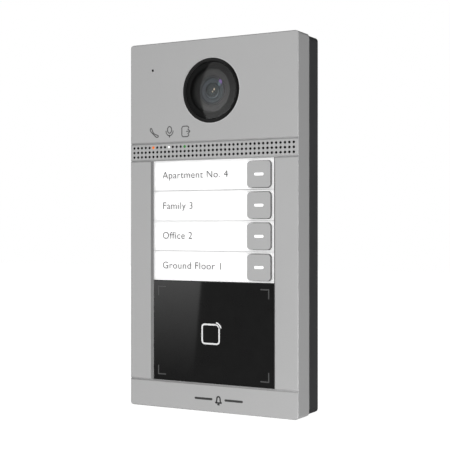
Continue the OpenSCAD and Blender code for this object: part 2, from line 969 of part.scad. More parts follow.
module retaining_frame() {
    rim = 3.3;
    frame_bottom = stack_bottom - 3;
    color([0.13, 0.13, 0.14])
        difference() {
            union() {
                slab(-frame_w / 2, frame_w / 2, frame_bottom, stack_top, guide_back, frame_back);
                difference() {
                    slab(-stack_w / 2, stack_w / 2, stack_bottom, reader_top, lip_d + reader_t, frame_back);
                    slab(rim - stack_w / 2, stack_w / 2 - rim, stack_bottom + rim, reader_top - 2.5,
                         0, guide_back);
                }
                for (x = [-1, 1])
                    for (z = [-1, 1])
                        slab(x * (antenna_w / 2 - 3) - 2, x * (antenna_w / 2 - 3) + 2,
                             reader_mid + z * (antenna_h / 2 - 2) - 1,
                             reader_mid + z * (antenna_h / 2 - 2) + 1,
                             antenna_front + antenna_t, frame_back);
                board_points()
                    rod(0, 0, standoff_r, frame_back - 0.1, board_front);
            }
            slab(-bay_x, bay_x, bay_bottom, bay_top, 0, frame_back + over);
            frame_points()
                rod(0, 0, screw_r + 0.1, 0, board_front);
            board_points()
                rod(0, 0, screw_r, guide_back + 0.4, board_front + over);
            for (p = housing_points)
                rod(p.x, p.y, housing_post_r + fit_gap, 0, board_front);
        }
}

module inner_screws() {
    color("gray") {
        frame_points()
            tapping_screw(0, 0, frame_back, 4);
        board_points()
            tapping_screw(0, 0, board_back, 4);
        camera_points()
            tapping_screw(0, 0, sensor_plane + camera_board_t, 4);
    }
}

module main_board() {
    color("darkgreen")
        difference() {
            union() {
                slab(-board_w / 2, board_w / 2, board_bottom, board_top, board_front, board_back);
                slab(-board_w / 2, arm_w - board_w / 2, board_bottom, arm_top, board_front, board_back);
            }
            board_points()
                rod(0, 0, screw_r + 0.1, board_front - over, board_back + over);
        }
}

module processor() {
    color([0.1, 0.1, 0.1])
        slab(-8, 8, label_bottom - 8, label_bottom + 8, board_back, board_back + 1.4);
}

module power_transformer() {
    color([0.2, 0.2, 0.18])
        slab(12, 27, label_bottom - 34, label_bottom - 18, board_back, board_back + 6);
}

module capacitors() {
    color("midnightblue")
        for (i = [0 : 2])
            rod(-26 + 9.5 * i, label_bottom - 28, 3.8, board_back, board_back + 6);
}

// A plug-in terminal strip: wires enter from the back, one under each clamp.
module terminal_block() {
    color([0.1, 0.45, 0.2])
        difference() {
            slab(-terminal_w / 2, terminal_w / 2,
                 terminal_z - terminal_h / 2, terminal_z + terminal_h / 2, board_back, body_d - 2.4);
            for (i = [0 : terminals - 1])
                translate([(i - (terminals - 1) / 2) * terminal_pitch, 0, 0]) {
                    slab(-1.1, 1.1, terminal_z - 3, terminal_z - 0.8, body_d - 8, body_d);
                    rod(0, terminal_z + 2.2, 1.3, body_d - 4, body_d);
                }
        }
}

// A network socket that opens to the back, with the notch for the plug's latch.
module network_jack() {
    color("lightgray")
        difference() {
            slab(jack_x - jack_w / 2, jack_x + jack_w / 2, jack_z - jack_h / 2, jack_z + jack_h / 2,
                 board_back, body_d - jack_set_back);
            slab(jack_x - socket_w / 2, jack_x + socket_w / 2, jack_z - socket_h / 2,
                 jack_z + socket_h / 2, board_back + thin, body_d);
            slab(jack_x - 3, jack_x + 3, jack_z - socket_h / 2 - 1.6, jack_z, board_back + thin, body_d);
        }
}

module tamper_plunger() {
    color("ivory") {
        layer(-tamper_shoulder, 0)
            translate([tamper_x, tamper_z])
                circle(r = tamper_r);
        layer(-tamper_length, -tamper_shoulder)
            translate([tamper_x, tamper_z])
                circle(r = tamper_tail_r);
    }
}

module tamper_switch() {
    half = switch_w / 2;
    color([0.15, 0.15, 0.15])
        difference() {
            slab(tamper_x - half, tamper_x + half, tamper_z - half, tamper_z + half,
                 board_back, board_back + tamper_switch_h);
            layer(-tamper_length - tamper_travel - fit_gap, 0)
                translate([tamper_x, tamper_z])
                    circle(r = tamper_tail_r + slide_gap);
        }
}

front_panel();
rear_cover();
housing_seal();
housing_screws();
wall_plate();
security_screw();
camera_bezel();
camera_dome();
camera_baffle();
lens_barrel();
front_lens();
lens_holder();
image_sensor();
camera_board();
microphone();
microphone_boot();
indicator_call();
indicator_talk();
indicator_unlock();
speaker_frame();
speaker_cone();
speaker_magnet();
speaker_gasket();
grille_mesh();
name_window_1();
name_window_2();
name_window_3();
name_window_4();
name_card_1();
name_card_2();
name_card_3();
name_card_4();
light_guide();
call_button_1();
call_button_2();
call_button_3();
call_button_4();
button_light_1();
button_light_2();
button_light_3();
button_light_4();
switch_plunger_1();
switch_plunger_2();
switch_plunger_3();
switch_plunger_4();
switch_housings();
board_leds();
reader_cover();
antenna_board();
retaining_frame();
inner_screws();
main_board();
processor();
power_transformer();
capacitors();
terminal_block();
network_jack();
tamper_plunger();
tamper_switch();
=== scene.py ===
# %% [markdown]
# # A door intercom panel
# This notebook dresses a finished mechanical model of a door station. The mechanical model is
# loaded as a fixed frame: every piece is already in its place, in metres, with +Z up, the front
# looking along -Y and the wall at y = 0. Here the pieces get their finishes, and the ones whose
# rounding, glass or print matters to the eye get a finer mesh.

# %% Load the frame
import json
import math

import bmesh
import bpy
import numpy as np
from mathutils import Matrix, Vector


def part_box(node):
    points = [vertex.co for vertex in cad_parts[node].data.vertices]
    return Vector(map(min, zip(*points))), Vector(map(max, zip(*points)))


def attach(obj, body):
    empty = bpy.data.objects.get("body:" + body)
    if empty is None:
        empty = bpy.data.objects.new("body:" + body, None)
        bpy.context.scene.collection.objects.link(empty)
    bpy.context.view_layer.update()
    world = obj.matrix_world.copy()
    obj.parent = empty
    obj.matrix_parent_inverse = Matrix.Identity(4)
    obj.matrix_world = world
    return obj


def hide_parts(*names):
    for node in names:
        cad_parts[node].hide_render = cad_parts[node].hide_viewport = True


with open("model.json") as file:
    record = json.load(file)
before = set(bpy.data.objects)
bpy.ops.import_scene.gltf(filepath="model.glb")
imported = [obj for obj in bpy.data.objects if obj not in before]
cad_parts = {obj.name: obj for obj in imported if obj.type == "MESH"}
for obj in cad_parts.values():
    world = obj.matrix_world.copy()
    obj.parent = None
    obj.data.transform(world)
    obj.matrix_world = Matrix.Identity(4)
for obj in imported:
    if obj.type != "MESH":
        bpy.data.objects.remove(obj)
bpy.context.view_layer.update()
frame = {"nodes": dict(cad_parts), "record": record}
NODES = frame["nodes"]
MM = 0.001

# %% [markdown]
# ## Camera
# The panel is seen from its right, level with its middle, from about half a metre. A long lens at
# that distance keeps the sides nearly parallel. The camera is placed by how far it stands to the
# right and in front of the face, and by its turn, so all three can be read from the numbers.

# %% Place the camera
FACE_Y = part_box("front_panel")[0].y
EYE_TURN = math.radians(29.53)
EYE = Vector((277.6 * MM, FACE_Y - 475.4 * MM, 0))
SENSOR, FOCAL = 36, 86.66


def place_camera():
    """Looks along (-sin turn, cos turn, 0), level, from EYE."""
    lens = bpy.data.cameras.new("view")
    lens.sensor_width = SENSOR
    lens.lens = FOCAL
    eye = bpy.data.objects.new("view", lens)
    eye.location = EYE
    eye.rotation_euler = (math.pi / 2, 0, EYE_TURN)
    bpy.context.scene.collection.objects.link(eye)
    bpy.context.scene.camera = eye


place_camera()
print("camera at", [round(v, 4) for v in EYE])

# %% [markdown]
# ## Sums on sockets
# A shader graph is arithmetic drawn as boxes. Wrapping a socket in a small class lets the
# arithmetic be written as a formula: each + or * on the wrapper adds one Math node. Numbers that
# don't change over the surface stay plain Python numbers.

# %% Sockets that can be added and multiplied
class Num:
    """A number socket. a + b, a - b, a * b, a / b, a ** b and abs(a) each add a Math node."""

    def __init__(self, tree, socket):
        self.tree = tree
        self.socket = socket

    def join(self, operation, first, second=0.0):
        node = self.tree.nodes.new("ShaderNodeMath")
        node.operation = operation
        for place, value in enumerate((first, second)):
            if isinstance(value, Num):
                self.tree.links.new(value.socket, node.inputs[place])
            else:
                node.inputs[place].default_value = value
        return Num(self.tree, node.outputs[0])

    def __add__(self, other):
        return self.join("ADD", self, other)

    def __radd__(self, other):
        return self.join("ADD", other, self)

    def __sub__(self, other):
        return self.join("SUBTRACT", self, other)

    def __rsub__(self, other):
        return self.join("SUBTRACT", other, self)

    def __mul__(self, other):
        return self.join("MULTIPLY", self, other)

    def __rmul__(self, other):
        return self.join("MULTIPLY", other, self)

    def __truediv__(self, other):
        return self.join("DIVIDE", self, other)

    def __rtruediv__(self, other):
        return self.join("DIVIDE", other, self)

    def __pow__(self, other):
        return self.join("POWER", self, other)

    def __abs__(self):
        return self.join("ABSOLUTE", self)


class Finish:
    """A material under construction, with one Principled shader and a way to add nodes."""

    def __init__(self, name, **constants):
        self.material = bpy.data.materials.new(name)
        self.material.use_nodes = True
        self.tree = self.material.node_tree
        self.tree.nodes.clear()
        self.shader = self.node("ShaderNodeBsdfPrincipled")
        out = self.node("ShaderNodeOutputMaterial")
        self.tree.links.new(self.shader.outputs[0], out.inputs["Surface"])
        for socket, value in constants.items():
            self.shader.inputs[socket.replace("_", " ")].default_value = value
        self.place = self.node("ShaderNodeTexCoord").outputs["Object"]

    def node(self, kind, settings=None, **inputs):
        """Adds a node: its settings first, then values or links by socket name, or by _number."""
        node = self.tree.nodes.new(kind)
        for name, value in (settings or {}).items():
            setattr(node, name, value)
        for name, value in inputs.items():
            key = int(name[1:]) if name[1:].isdigit() else name.replace("_", " ")
            socket = node.inputs[key]
            if isinstance(value, Num):
                self.tree.links.new(value.socket, socket)
            elif isinstance(value, bpy.types.NodeSocket):
                self.tree.links.new(value, socket)
            else:
                socket.default_value = value
        return node

    def num(self, socket):
        return Num(self.tree, socket)

    def noise(self, size, detail=2.0, roughness=0.5, stretch=(1, 1, 1)):
        """Noise between 0 and 1 whose grains are about size metres, drawn out by stretch."""
        scaled = self.node(
            "ShaderNodeMapping", Vector=self.place,
            Scale=tuple(1 / (size * s) for s in stretch))
        texture = self.node(
            "ShaderNodeTexNoise", Vector=scaled.outputs[0], Scale=1.0, Detail=detail,
            Roughness=roughness)
        return self.num(texture.outputs[0])

    def blend(self, mask, low, high):
        """A colour that goes from low to high as mask goes from 0 to 1."""
        mix = self.node("ShaderNodeMix", {"data_type": "RGBA"}, Factor=mask, _6=low, _7=high)
        return mix.outputs[2]

    def drive(self, socket, value):
        """Feeds one of the shader's own sockets with a value or a colour that varies."""
        source = value.socket if isinstance(value, Num) else value
        self.tree.links.new(source, self.shader.inputs[socket])

    def layer(self, tint, share):
        """Shows share of the shader over a see-through layer of colour tint."""
        see = self.node("ShaderNodeBsdfTransparent", Color=tint)
        mix = self.node(
            "ShaderNodeMixShader", _0=share, _1=see.outputs[0], _2=self.shader.outputs[0])
        out = next(n for n in self.tree.nodes if n.type == "OUTPUT_MATERIAL")
        self.tree.links.new(mix.outputs[0], out.inputs["Surface"])

    def bump(self, height, depth):
        """Raises the surface by height (0 to 1) times depth, in metres."""
        bump = self.node("ShaderNodeBump", Height=height, Distance=depth, Strength=1.0)
        self.tree.links.new(bump.outputs[0], self.shader.inputs["Normal"])


def grey(value, alpha=1.0):
    return (value, value, value, alpha)


FINISHES = {}
print("shader helpers ready")

# %% [markdown]
# ## Studio
# A white backdrop and a pale floor fill the view. Only the camera sees them: they give no light
# and the gloss parts don't mirror them. The floor lies far below, because a door station hangs
# at chest height. A weak even world light keeps the shaded parts from going black.

# %% Backdrop, floor and world
FLOOR_Z = -1.4


def sphere_grid(radius, rings, sides):
    """Points at radius * (cos a * cos b, sin a * cos b, sin b), a round and b from pole to pole."""
    a, b = np.meshgrid(
        np.linspace(0, 2 * np.pi, sides + 1), np.linspace(-np.pi / 2, np.pi / 2, rings + 1))
    return radius * np.stack([np.cos(a) * np.cos(b), np.sin(a) * np.cos(b), np.sin(b)], axis=-1)


def grid_mesh(name, points, flip=False):
    """A mesh over a grid of points [row, column, xyz]; flip turns its faces round."""
    rows, columns = points.shape[:2]
    index = np.arange(rows * columns).reshape(rows, columns)
    quads = np.stack(
        [index[:-1, :-1], index[:-1, 1:], index[1:, 1:], index[1:, :-1]], axis=-1).reshape(-1, 4)
    if flip:
        quads = quads[:, ::-1]
    mesh = bpy.data.meshes.new(name)
    mesh.from_pydata(points.reshape(-1, 3), [], quads)
    mesh.polygons.foreach_set("use_smooth", np.ones(len(mesh.polygons), bool))
    mesh.update()
    piece = bpy.data.objects.new(name, mesh)
    bpy.context.scene.collection.objects.link(piece)
    return piece


def glow(name):
    """A black surface without gloss that shines white."""
    finish = Finish(name, Base_Color=grey(0), Emission_Color=grey(1), Emission_Strength=1.0)
    finish.shader.inputs["Specular IOR Level"].default_value = 0
    return finish


def stage_for(piece, ray):
    """Puts a piece on the stage so that only one kind of ray meets it."""
    for other in ("camera", "diffuse", "glossy", "transmission", "volume_scatter", "shadow"):
        setattr(piece, "visible_" + other, other == ray)


def build_backdrop():
    shell = grid_mesh("backdrop", sphere_grid(40, 24, 48), flip=True)
    shell.data.materials.append(glow("backdrop_white").material)
    stage_for(shell, "camera")


def build_floor():
    side = np.linspace(-30, 30, 3)
    x, y = np.meshgrid(side, side)
    floor = grid_mesh("floor", np.stack([x, y, np.full_like(x, FLOOR_Z)], axis=-1))
    pale = Finish("floor_pale", Roughness=0.8)
    pale.drive("Base Color", pale.blend(pale.noise(0.4), grey(0.88), grey(0.92)))
    pale.shader.inputs["Emission Color"].default_value = grey(1)
    pale.shader.inputs["Emission Strength"].default_value = 1.0
    floor.data.materials.append(pale.material)
    stage_for(floor, "camera")


def build_world(strength):
    world = bpy.data.worlds.new("studio")
    world.use_nodes = True
    world.node_tree.nodes["Background"].inputs["Color"].default_value = grey(1)
    world.node_tree.nodes["Background"].inputs["Strength"].default_value = strength
    bpy.context.scene.world = world


build_backdrop()
build_floor()
build_world(0.068)
bpy.context.scene.view_settings.view_transform = "Standard"
print("studio built")

# %% [markdown]
# ## Lamps
# Three soft boxes light the panel: a wide one in front and a little above, a smaller one low on
# the right for the side walls, and one behind for the back. They are left out of reflections,
# because a gloss plate would show them as hard white squares.

# %% Soft boxes
def soft_box(name, turn, lift, distance, width, height, watts):
    """A rectangular light aimed at the origin, turn degrees to the right and lift degrees up."""
    turn, lift = math.radians(turn), math.radians(lift)
    out = Vector((math.sin(turn) * math.cos(lift), -math.cos(turn) * math.cos(lift), math.sin(lift)))
    lamp = bpy.data.lights.new(name, "AREA")
    lamp.shape = "RECTANGLE"
    lamp.size = width
    lamp.size_y = height
    lamp.energy = watts
    lit = bpy.data.objects.new(name, lamp)
    lit.location = out * distance
    lit.rotation_euler = (-out).to_track_quat("-Z", "Y").to_euler()
    lit.visible_camera = False
    lit.visible_glossy = False
    bpy.context.scene.collection.objects.link(lit)


# turn, lift (degrees), distance, width, height (metres), watts
RIG = {
    "key_box": (50, -30, 0.9, 0.5, 0.5, 6.3),
    "front_box": (-10, 20, 1.6, 1.2, 1.2, 13.3),
    "rear_box": (165, 8, 2.2, 1.6, 1.6, 15.0),
}
for name, settings in RIG.items():
    soft_box(name, *settings)

# %% [markdown]
# ## What the gloss parts see
# Lamps light the paint, but a gloss part shows a picture of what stands in front of it. Here that
# is one curved card, seen only by reflections. It ends in a straight upright edge on the left,
# which the dome bends into a crescent. The flat reader plate sees a second, smaller card close in
# front of it: black on one side of a slanted line and graded on the other, from pale to dark.
# The second card is placed for the main camera alone: from elsewhere the sheen falls otherwise.

# %% Reflection cards
CARD_R = 1.5
CARD_TURNS, CARD_LIFTS = (-46.4, 75), (-56, 62)
READER_X, READER_Z = (-42, 38), (-86, -24)
SHEEN_X, SHEEN_LEAN, SHEEN_EDGE = -4.1, 0.096, 0.3
SHEEN_FOOT, SHEEN_RISE, SHEEN_CURVE, SHEEN_GAIN = -80, 51, 1.4, 1.27


def clamped(value):
    """value held between 0 and 1."""
    return value.join("MINIMUM", value.join("MAXIMUM", value, 0.0), 1.0)


def card_points(turns, lifts):
    """Ball part: R * (sin a cos b, -cos a cos b, sin b) for turn a and lift b."""
    a, b = np.meshgrid(np.radians(turns), np.radians(lifts))
    ball = np.stack([np.sin(a) * np.cos(b), -np.cos(a) * np.cos(b), np.sin(b)], axis=-1)
    return CARD_R * ball + (0, FACE_Y, 0)


def hang_card(card, finish, level):
    """The card shines with the same level in red, green and blue, for reflections only."""
    shade = finish.node("ShaderNodeCombineXYZ", X=level, Y=level, Z=level)
    finish.drive("Emission Color", shade.outputs[0])
    card.data.materials.append(finish.material)
    stage_for(card, "glossy")


def build_card():
    """The curved card: level 1 at the panel's middle height, brighter below and darker above."""
    points = card_points(np.linspace(*CARD_TURNS, 62), np.linspace(*CARD_LIFTS, 60))
    card = grid_mesh("reflection_card", points)
    finish = glow("card_glow")
    apart = finish.node("ShaderNodeSeparateXYZ", Vector=finish.place)
    z = finish.num(apart.outputs["Z"])
    hang_card(card, finish, 1.0 - z * (0.5 / CARD_R))


def build_reader_card(gap=100 * MM):
    """Flat card in front of the reader: its point (X, Z) meets the card at (X k - s, Z k)."""
    reach = FACE_Y - EYE.y
    k, s = 1 + gap / reach, EYE.x * gap / reach
    x, z = np.meshgrid(np.array(READER_X) * MM * k - s, np.array(READER_Z) * MM * k)
    card = grid_mesh("reader_card", np.stack([x, np.full_like(x, FACE_Y - gap), z], axis=-1))
    finish = glow("reader_card_glow")
    apart = finish.node("ShaderNodeSeparateXYZ", Vector=finish.place)
    seen_x = (finish.num(apart.outputs["X"]) + s) / (k * MM)
    seen_z = finish.num(apart.outputs["Z"]) / (k * MM)
    slant = clamped((SHEEN_X + seen_z * SHEEN_LEAN - seen_x) / SHEEN_EDGE)
    level = slant * clamped((seen_z - SHEEN_FOOT) / SHEEN_RISE) ** SHEEN_CURVE * SHEEN_GAIN
    hang_card(card, finish, level)


build_card()
build_reader_card()
print("reflection cards built")

# %% [markdown]
# ## Finishes
# Each finish is one function named for what it is on the object. Paint and moulded plastic are
# never one flat colour: a slow mottle changes the shade by a percent or two, and a fine grain
# lifts the surface by a few thousandths of a millimetre.

# %% Painted metal and moulded plastics
def satin_paint(name, shade, mottle=0.012, rough=0.4, grain=0.16 * MM, lift=4e-6):
    """Fine satin paint: shade with a slow mottle, small grains that scatter the gloss."""
    finish = Finish(name, IOR=1.45)
    cloud = finish.noise(14 * MM, 3)
    speck = finish.noise(grain, 2, 0.6)
    mask = cloud * 0.7 + speck * 0.3
    finish.drive("Base Color", finish.blend(mask, grey(shade - mottle), grey(shade + mottle)))
    finish.drive("Roughness", rough - 0.05 + speck * 0.1)
    finish.bump(speck, lift)
    return finish


def grained_plastic(name, shade, tint=(1, 1, 1), rough=0.5, grain=0.35 * MM, lift=12e-6):
    """Moulded plastic from a spark-eroded tool: an even pebble grain and a slight mottle."""
    finish = Finish(name, IOR=1.46)
    pebble = finish.noise(grain, 3, 0.55)
    cloud = finish.noise(9 * MM, 2)
    low = tuple(shade * 0.85 * t for t in tint) + (1,)
    high = tuple(shade * 1.15 * t for t in tint) + (1,)
    finish.drive("Base Color", finish.blend(cloud * 0.6 + pebble * 0.4, low, high))
    finish.drive("Roughness", rough - 0.08 + pebble * 0.16)
    finish.bump(pebble, lift)
    return finish


def gloss_plastic(name, shade, rough=0.08):
    """Polished plastic: nearly black in depth, with faint waves in its gloss."""
    finish = Finish(name, IOR=1.49)
    wave = finish.noise(6 * MM, 2)
    dust = finish.noise(0.3 * MM, 2, 0.7)
    finish.drive("Base Color", finish.blend(wave, grey(shade * 0.85), grey(shade * 1.15)))
    finish.drive("Roughness", rough - 0.02 + dust * 0.04)
    finish.bump(wave, 1.5e-6)
    return finish


FINISHES["panel_metal"] = satin_paint("panel_metal", 0.47)
FINISHES["button_plastic"] = satin_paint("button_plastic", 0.475, grain=0.12 * MM, lift=3e-6)
FINISHES["rear_plastic"] = grained_plastic("rear_plastic", 0.05, tint=(0.97, 0.98, 1.03))
FINISHES["bezel_plastic"] = gloss_plastic("bezel_plastic", 0.004, rough=0.16)
FINISHES["bezel_plastic"].shader.inputs["Specular IOR Level"].default_value = 0.25
FINISHES["baffle_plastic"] = grained_plastic(
    "baffle_plastic", 0.02, rough=0.6, grain=0.2 * MM, lift=6e-6)
FINISHES["holder_plastic"] = grained_plastic("holder_plastic", 0.02)
FINISHES["reader_black"] = gloss_plastic("reader_black", 0.0145, rough=0.06)
FINISHES["frame_plastic"] = grained_plastic("frame_plastic", 0.03)
FINISHES["chip_plastic"] = grained_plastic("chip_plastic", 0.02, grain=0.12 * MM, lift=4e-6)
FINISHES["switch_plastic"] = grained_plastic("switch_plastic", 0.025, grain=0.15 * MM, lift=4e-6)
FINISHES["speaker_plastic"] = grained_plastic("speaker_plastic", 0.03)
FINISHES["plunger_plastic"] = grained_plastic(
    "plunger_plastic", 0.62, tint=(1, 0.96, 0.88), grain=0.2 * MM, lift=3e-6)
FINISHES["terminal_plastic"] = grained_plastic(
    "terminal_plastic", 0.22, tint=(0.25, 1.0, 0.4), grain=0.2 * MM, lift=4e-6)
FINISHES["capacitor_sleeve"] = gloss_plastic("capacitor_sleeve", 0.03, rough=0.25)
print("finishes so far:", len(FINISHES))

# %% [markdown]
# ## Metals
# Screws and the wall plate are zinc plated: bright, slightly blue, and clouded. The plate also
# shows the direction in which its sheet was rolled, as faint streaks along its height.

# %% Metals
def zinc(name, streak=(1, 1, 1), rough=0.32, shade=0.62):
    """Zinc plating: a blue-grey metal with clouds, streaked along the rolling direction."""
    finish = Finish(name, Metallic=0.55)
    cloud = finish.noise(5 * MM, 3)
    line = finish.noise(0.4 * MM, 3, 0.6, stretch=streak)
    mask = cloud * 0.5 + line * 0.5
    low = (shade * 0.86, shade * 0.88, shade * 0.9, 1)
    high = (shade * 1.1, shade * 1.12, shade * 1.16, 1)
    finish.drive("Base Color", finish.blend(mask, low, high))
    finish.drive("Roughness", rough - 0.1 + line * 0.2)
    finish.bump(line, 3e-6)
    return finish


FINISHES["plate_steel"] = zinc("plate_steel", streak=(1, 1, 30), shade=0.8)
FINISHES["screw_steel"] = zinc("screw_steel", rough=0.3)
FINISHES["jack_metal"] = zinc("jack_metal", streak=(12, 1, 1), rough=0.24, shade=0.72)
FINISHES["capsule_metal"] = zinc("capsule_metal", rough=0.35)
FINISHES["magnet_metal"] = zinc("magnet_metal", rough=0.4, shade=0.3)
FINISHES["barrel_metal"] = Finish("barrel_metal", Metallic=0.6, Roughness=0.35)
anodised = FINISHES["barrel_metal"]
anodised_cloud = anodised.noise(0.5 * MM)
anodised.drive("Base Color", anodised.blend(anodised_cloud, grey(0.018), grey(0.03)))
print("finishes so far:", len(FINISHES))

# %% [markdown]
# ## Rubber, cloth, board and light
# The seal, gasket and boot are matte and black. The board's solder mask is green with faint
# copper traces under it. The light bars, cards and indicator pipes glow, because there are lamps
# behind them.

# %% Soft and lit finishes
def soft_black(name, shade=0.02, grain=0.2 * MM):
    finish = Finish(name, IOR=1.4)
    pore = finish.noise(grain, 3, 0.7)
    finish.drive("Base Color", finish.blend(pore, grey(shade * 0.6), grey(shade * 1.4)))
    finish.drive("Roughness", 0.7 + pore * 0.2)
    finish.bump(pore, 20e-6)
    return finish


def woven(name, shade, pitch=0.25 * MM):
    """Plain weave: the height is half |sin x| plus half |sin z|, with one bump every pitch."""
    finish = Finish(name, Roughness=0.8)
    apart = finish.node("ShaderNodeSeparateXYZ", Vector=finish.place)
    across = finish.num(apart.outputs["X"]) * (math.pi / pitch)
    up = finish.num(apart.outputs["Z"]) * (math.pi / pitch)
    thread = abs(across.join("SINE", across)) * 0.5 + abs(up.join("SINE", up)) * 0.5
    finish.drive("Base Color", finish.blend(thread, grey(shade * 0.4), grey(shade * 1.5)))
    finish.bump(thread, 40e-6)
    return finish


def solder_mask(name):
    """Green mask over a bare board: squared-off traces show as a paler green."""
    finish = Finish(name, IOR=1.5, Coat_Weight=0.4)
    laid = finish.node("ShaderNodeMapping", Vector=finish.place, Rotation=(math.pi / 2, 0, 0))
    cells = finish.node(
        "ShaderNodeTexBrick", {"offset": 0.37, "squash": 0.6, "squash_frequency": 3},
        Vector=laid.outputs[0], Scale=90.0, Mortar_Size=0.03, Mortar=(0.03, 0.16, 0.06, 1),
        Color1=(0.008, 0.06, 0.02, 1), Color2=(0.012, 0.085, 0.03, 1))
    finish.drive("Base Color", cells.outputs["Color"])
    finish.drive("Roughness", 0.3 + finish.noise(0.5 * MM) * 0.1)
    return finish


def lit_white(name, strength, shade=(1, 1, 1), body=0.85, cloud_size=20 * MM):
    """A white glow, a little uneven: lamps behind cards, bars and pipes; painted light on ink and
    glints.
    """
    finish = Finish(name, Base_Color=tuple(body * s for s in shade) + (1,), Roughness=0.45)
    finish.shader.inputs["Emission Strength"].default_value = strength
    cloud = finish.noise(cloud_size, 1)
    low = tuple(0.94 * s for s in shade) + (1,)
    finish.drive("Emission Color", finish.blend(cloud, low, tuple(shade) + (1,)))
    return finish


FINISHES["seal_rubber"] = soft_black("seal_rubber")
FINISHES["boot_rubber"] = soft_black("boot_rubber")
FINISHES["gasket_foam"] = soft_black("gasket_foam", 0.03, 0.4 * MM)
FINISHES["mesh_cloth"] = woven("mesh_cloth", 0.008)
FINISHES["cone_paper"] = woven("cone_paper", 0.05, 0.6 * MM)
FINISHES["board_green"] = solder_mask("board_green")
FINISHES["card_paper"] = lit_white("card_paper", 0.52)
FINISHES["guide_plastic"] = lit_white("guide_plastic", 0.3)
FINISHES["light_bar"] = lit_white("light_bar", 0.4, cloud_size=3 * MM)
FINISHES["led_chip"] = lit_white("led_chip", 2.0, shade=(1, 0.95, 0.75), cloud_size=1 * MM)
FINISHES["indicator_orange"] = lit_white(
    "indicator_orange", 0.95, shade=(1.0, 0.19, 0.0), body=0.1, cloud_size=1 * MM)
FINISHES["indicator_white"] = lit_white("indicator_white", 1.0, cloud_size=1 * MM)
FINISHES["indicator_green"] = lit_white(
    "indicator_green", 0.9, shade=(0.006, 0.19, 0.006), body=0.3, cloud_size=1 * MM)
print("finishes so far:", len(FINISHES))

# %% [markdown]
# ## Clear pieces
# A clear cover is drawn as a see-through layer with a gloss on it. The share of gloss follows
# Fresnel's law: a few percent face on, all of it at a grazing angle. That keeps shadows soft and
# lets light reach what lies behind.

# %% Clear covers and glass
def clear_cover(name, tint, gloss, rough=0.02, ior=1.49):
    """See-through with a gloss layer: gloss scales the Fresnel share of the reflection."""
    finish = Finish(name, Base_Color=grey(1), Metallic=1.0, Roughness=rough)
    edge = finish.num(finish.node("ShaderNodeFresnel", IOR=ior).outputs[0])
    smear = finish.noise(8 * MM, 2) * 0.16 + 0.92
    finish.layer(tint, edge * smear * gloss)
    return finish


FINISHES["window_clear"] = clear_cover("window_clear", grey(0.98), 0.8, rough=0.05)
FINISHES["dome_clear"] = clear_cover("dome_clear", grey(0.93), 0.86)
FINISHES["lens_glass"] = clear_cover("lens_glass", (0.55, 0.6, 0.7, 1), 2.2)
FINISHES["sensor_glass"] = gloss_plastic("sensor_glass", 0.02, rough=0.05)
missing = {m["slot"] for m in frame["record"]["materials"]} - set(FINISHES)
print("slots without a finish:", missing)

# %% [markdown]
# ## Dressing the mechanical pieces
# Every piece of the mechanical model names a slot, which says what it is made of. Its one
# material is set from that slot, so hidden pieces are finished too. The lit cards and their light
# guide are left out of bounced light, or they would wash out the pieces beside them.

# %% Dress every node in its slot's finish
for part in frame["record"]["subparts"]:
    mesh = NODES[part["node"]].data
    mesh.materials.clear()
    mesh.materials.append(FINISHES[part["material_slot"]].material)
for name in [f"name_card_{i}" for i in range(1, 5)] + ["light_guide"]:
    NODES[name].visible_diffuse = False

# %% [markdown]
# ## Shapes from sums
# Every new piece is a grid of points worked out at once with numpy: a profile turned round an
# axis, an outline stacked at several depths, or a small rectangle carried along a stroke. One
# helper turns such grids into faces, merges the poles and seams, and makes the faces look
# outwards. Another names the body the piece rides on and the finish it wears.

# %% From grids to pieces
def shell_of(points, wrap_rows=False, wrap_columns=True, caps=False):
    """Faces over a grid of points [row, column, xyz]; a wrapped side joins its last to its first."""
    rows, columns = points.shape[:2]
    index = np.arange(rows * columns).reshape(rows, columns)
    if wrap_rows:
        index = np.vstack([index, index[:1]])
    if wrap_columns:
        index = np.hstack([index, index[:, :1]])
    quads = np.stack(
        [index[:-1, :-1], index[:-1, 1:], index[1:, 1:], index[1:, :-1]], axis=-1).reshape(-1, 4)
    faces = quads.tolist()
    if caps:
        faces += [list(range(columns)), list(range((rows - 1) * columns, rows * columns))]
    return points.reshape(-1, 3), faces


CREASE = 38


def smooth_by_angle(mesh, degrees):
    mesh.polygons.foreach_set("use_smooth", np.ones(len(mesh.polygons), bool))
    mesh.set_sharp_from_angle(angle=math.radians(degrees))


def close_up(mesh):
    """Merges the points at poles and seams and turns every face outwards."""
    net = bmesh.new()
    net.from_mesh(mesh)
    bmesh.ops.remove_doubles(net, verts=net.verts, dist=1e-7)
    bmesh.ops.recalc_face_normals(net, faces=net.faces)
    net.to_mesh(mesh)
    net.free()


def make_piece(name, shells, slot, finish=None, instead_of=()):
    """Joins shells of (points, faces) into one piece on the station, in slot's finish."""
    starts = np.cumsum([0] + [len(points) for points, _ in shells])
    faces = [[start + i for i in face] for start, shell in zip(starts, shells) for face in shell[1]]
    mesh = bpy.data.meshes.new(name)
    mesh.from_pydata(np.concatenate([points for points, _ in shells]), [], faces)
    close_up(mesh)
    return dress_piece(name, mesh, slot, finish, "station", instead_of, CREASE)


def dress_piece(name, mesh, slot, finish, body, instead_of, crease):
    smooth_by_angle(mesh, crease)
    mesh.materials.clear()
    mesh.materials.append((finish or FINISHES[slot]).material)
    piece = bpy.data.objects.new(name, mesh)
    bpy.context.scene.collection.objects.link(piece)
    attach(piece, body)
    if instead_of:
        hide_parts(*instead_of)
    return piece


print("piece helpers ready")

# %% [markdown]
# ## Softer edges
# A punched and painted housing has no knife edges: each outer edge carries a round of a few
# tenths of a millimetre, and that round is what catches the light as a thin bright line. The
# mechanical model leaves most of them out. Modelling each piece again would risk moving it, so
# its mesh is copied, its loose triangles are merged, its flat areas joined, and the chosen edges
# get a round with Blender's bevel.

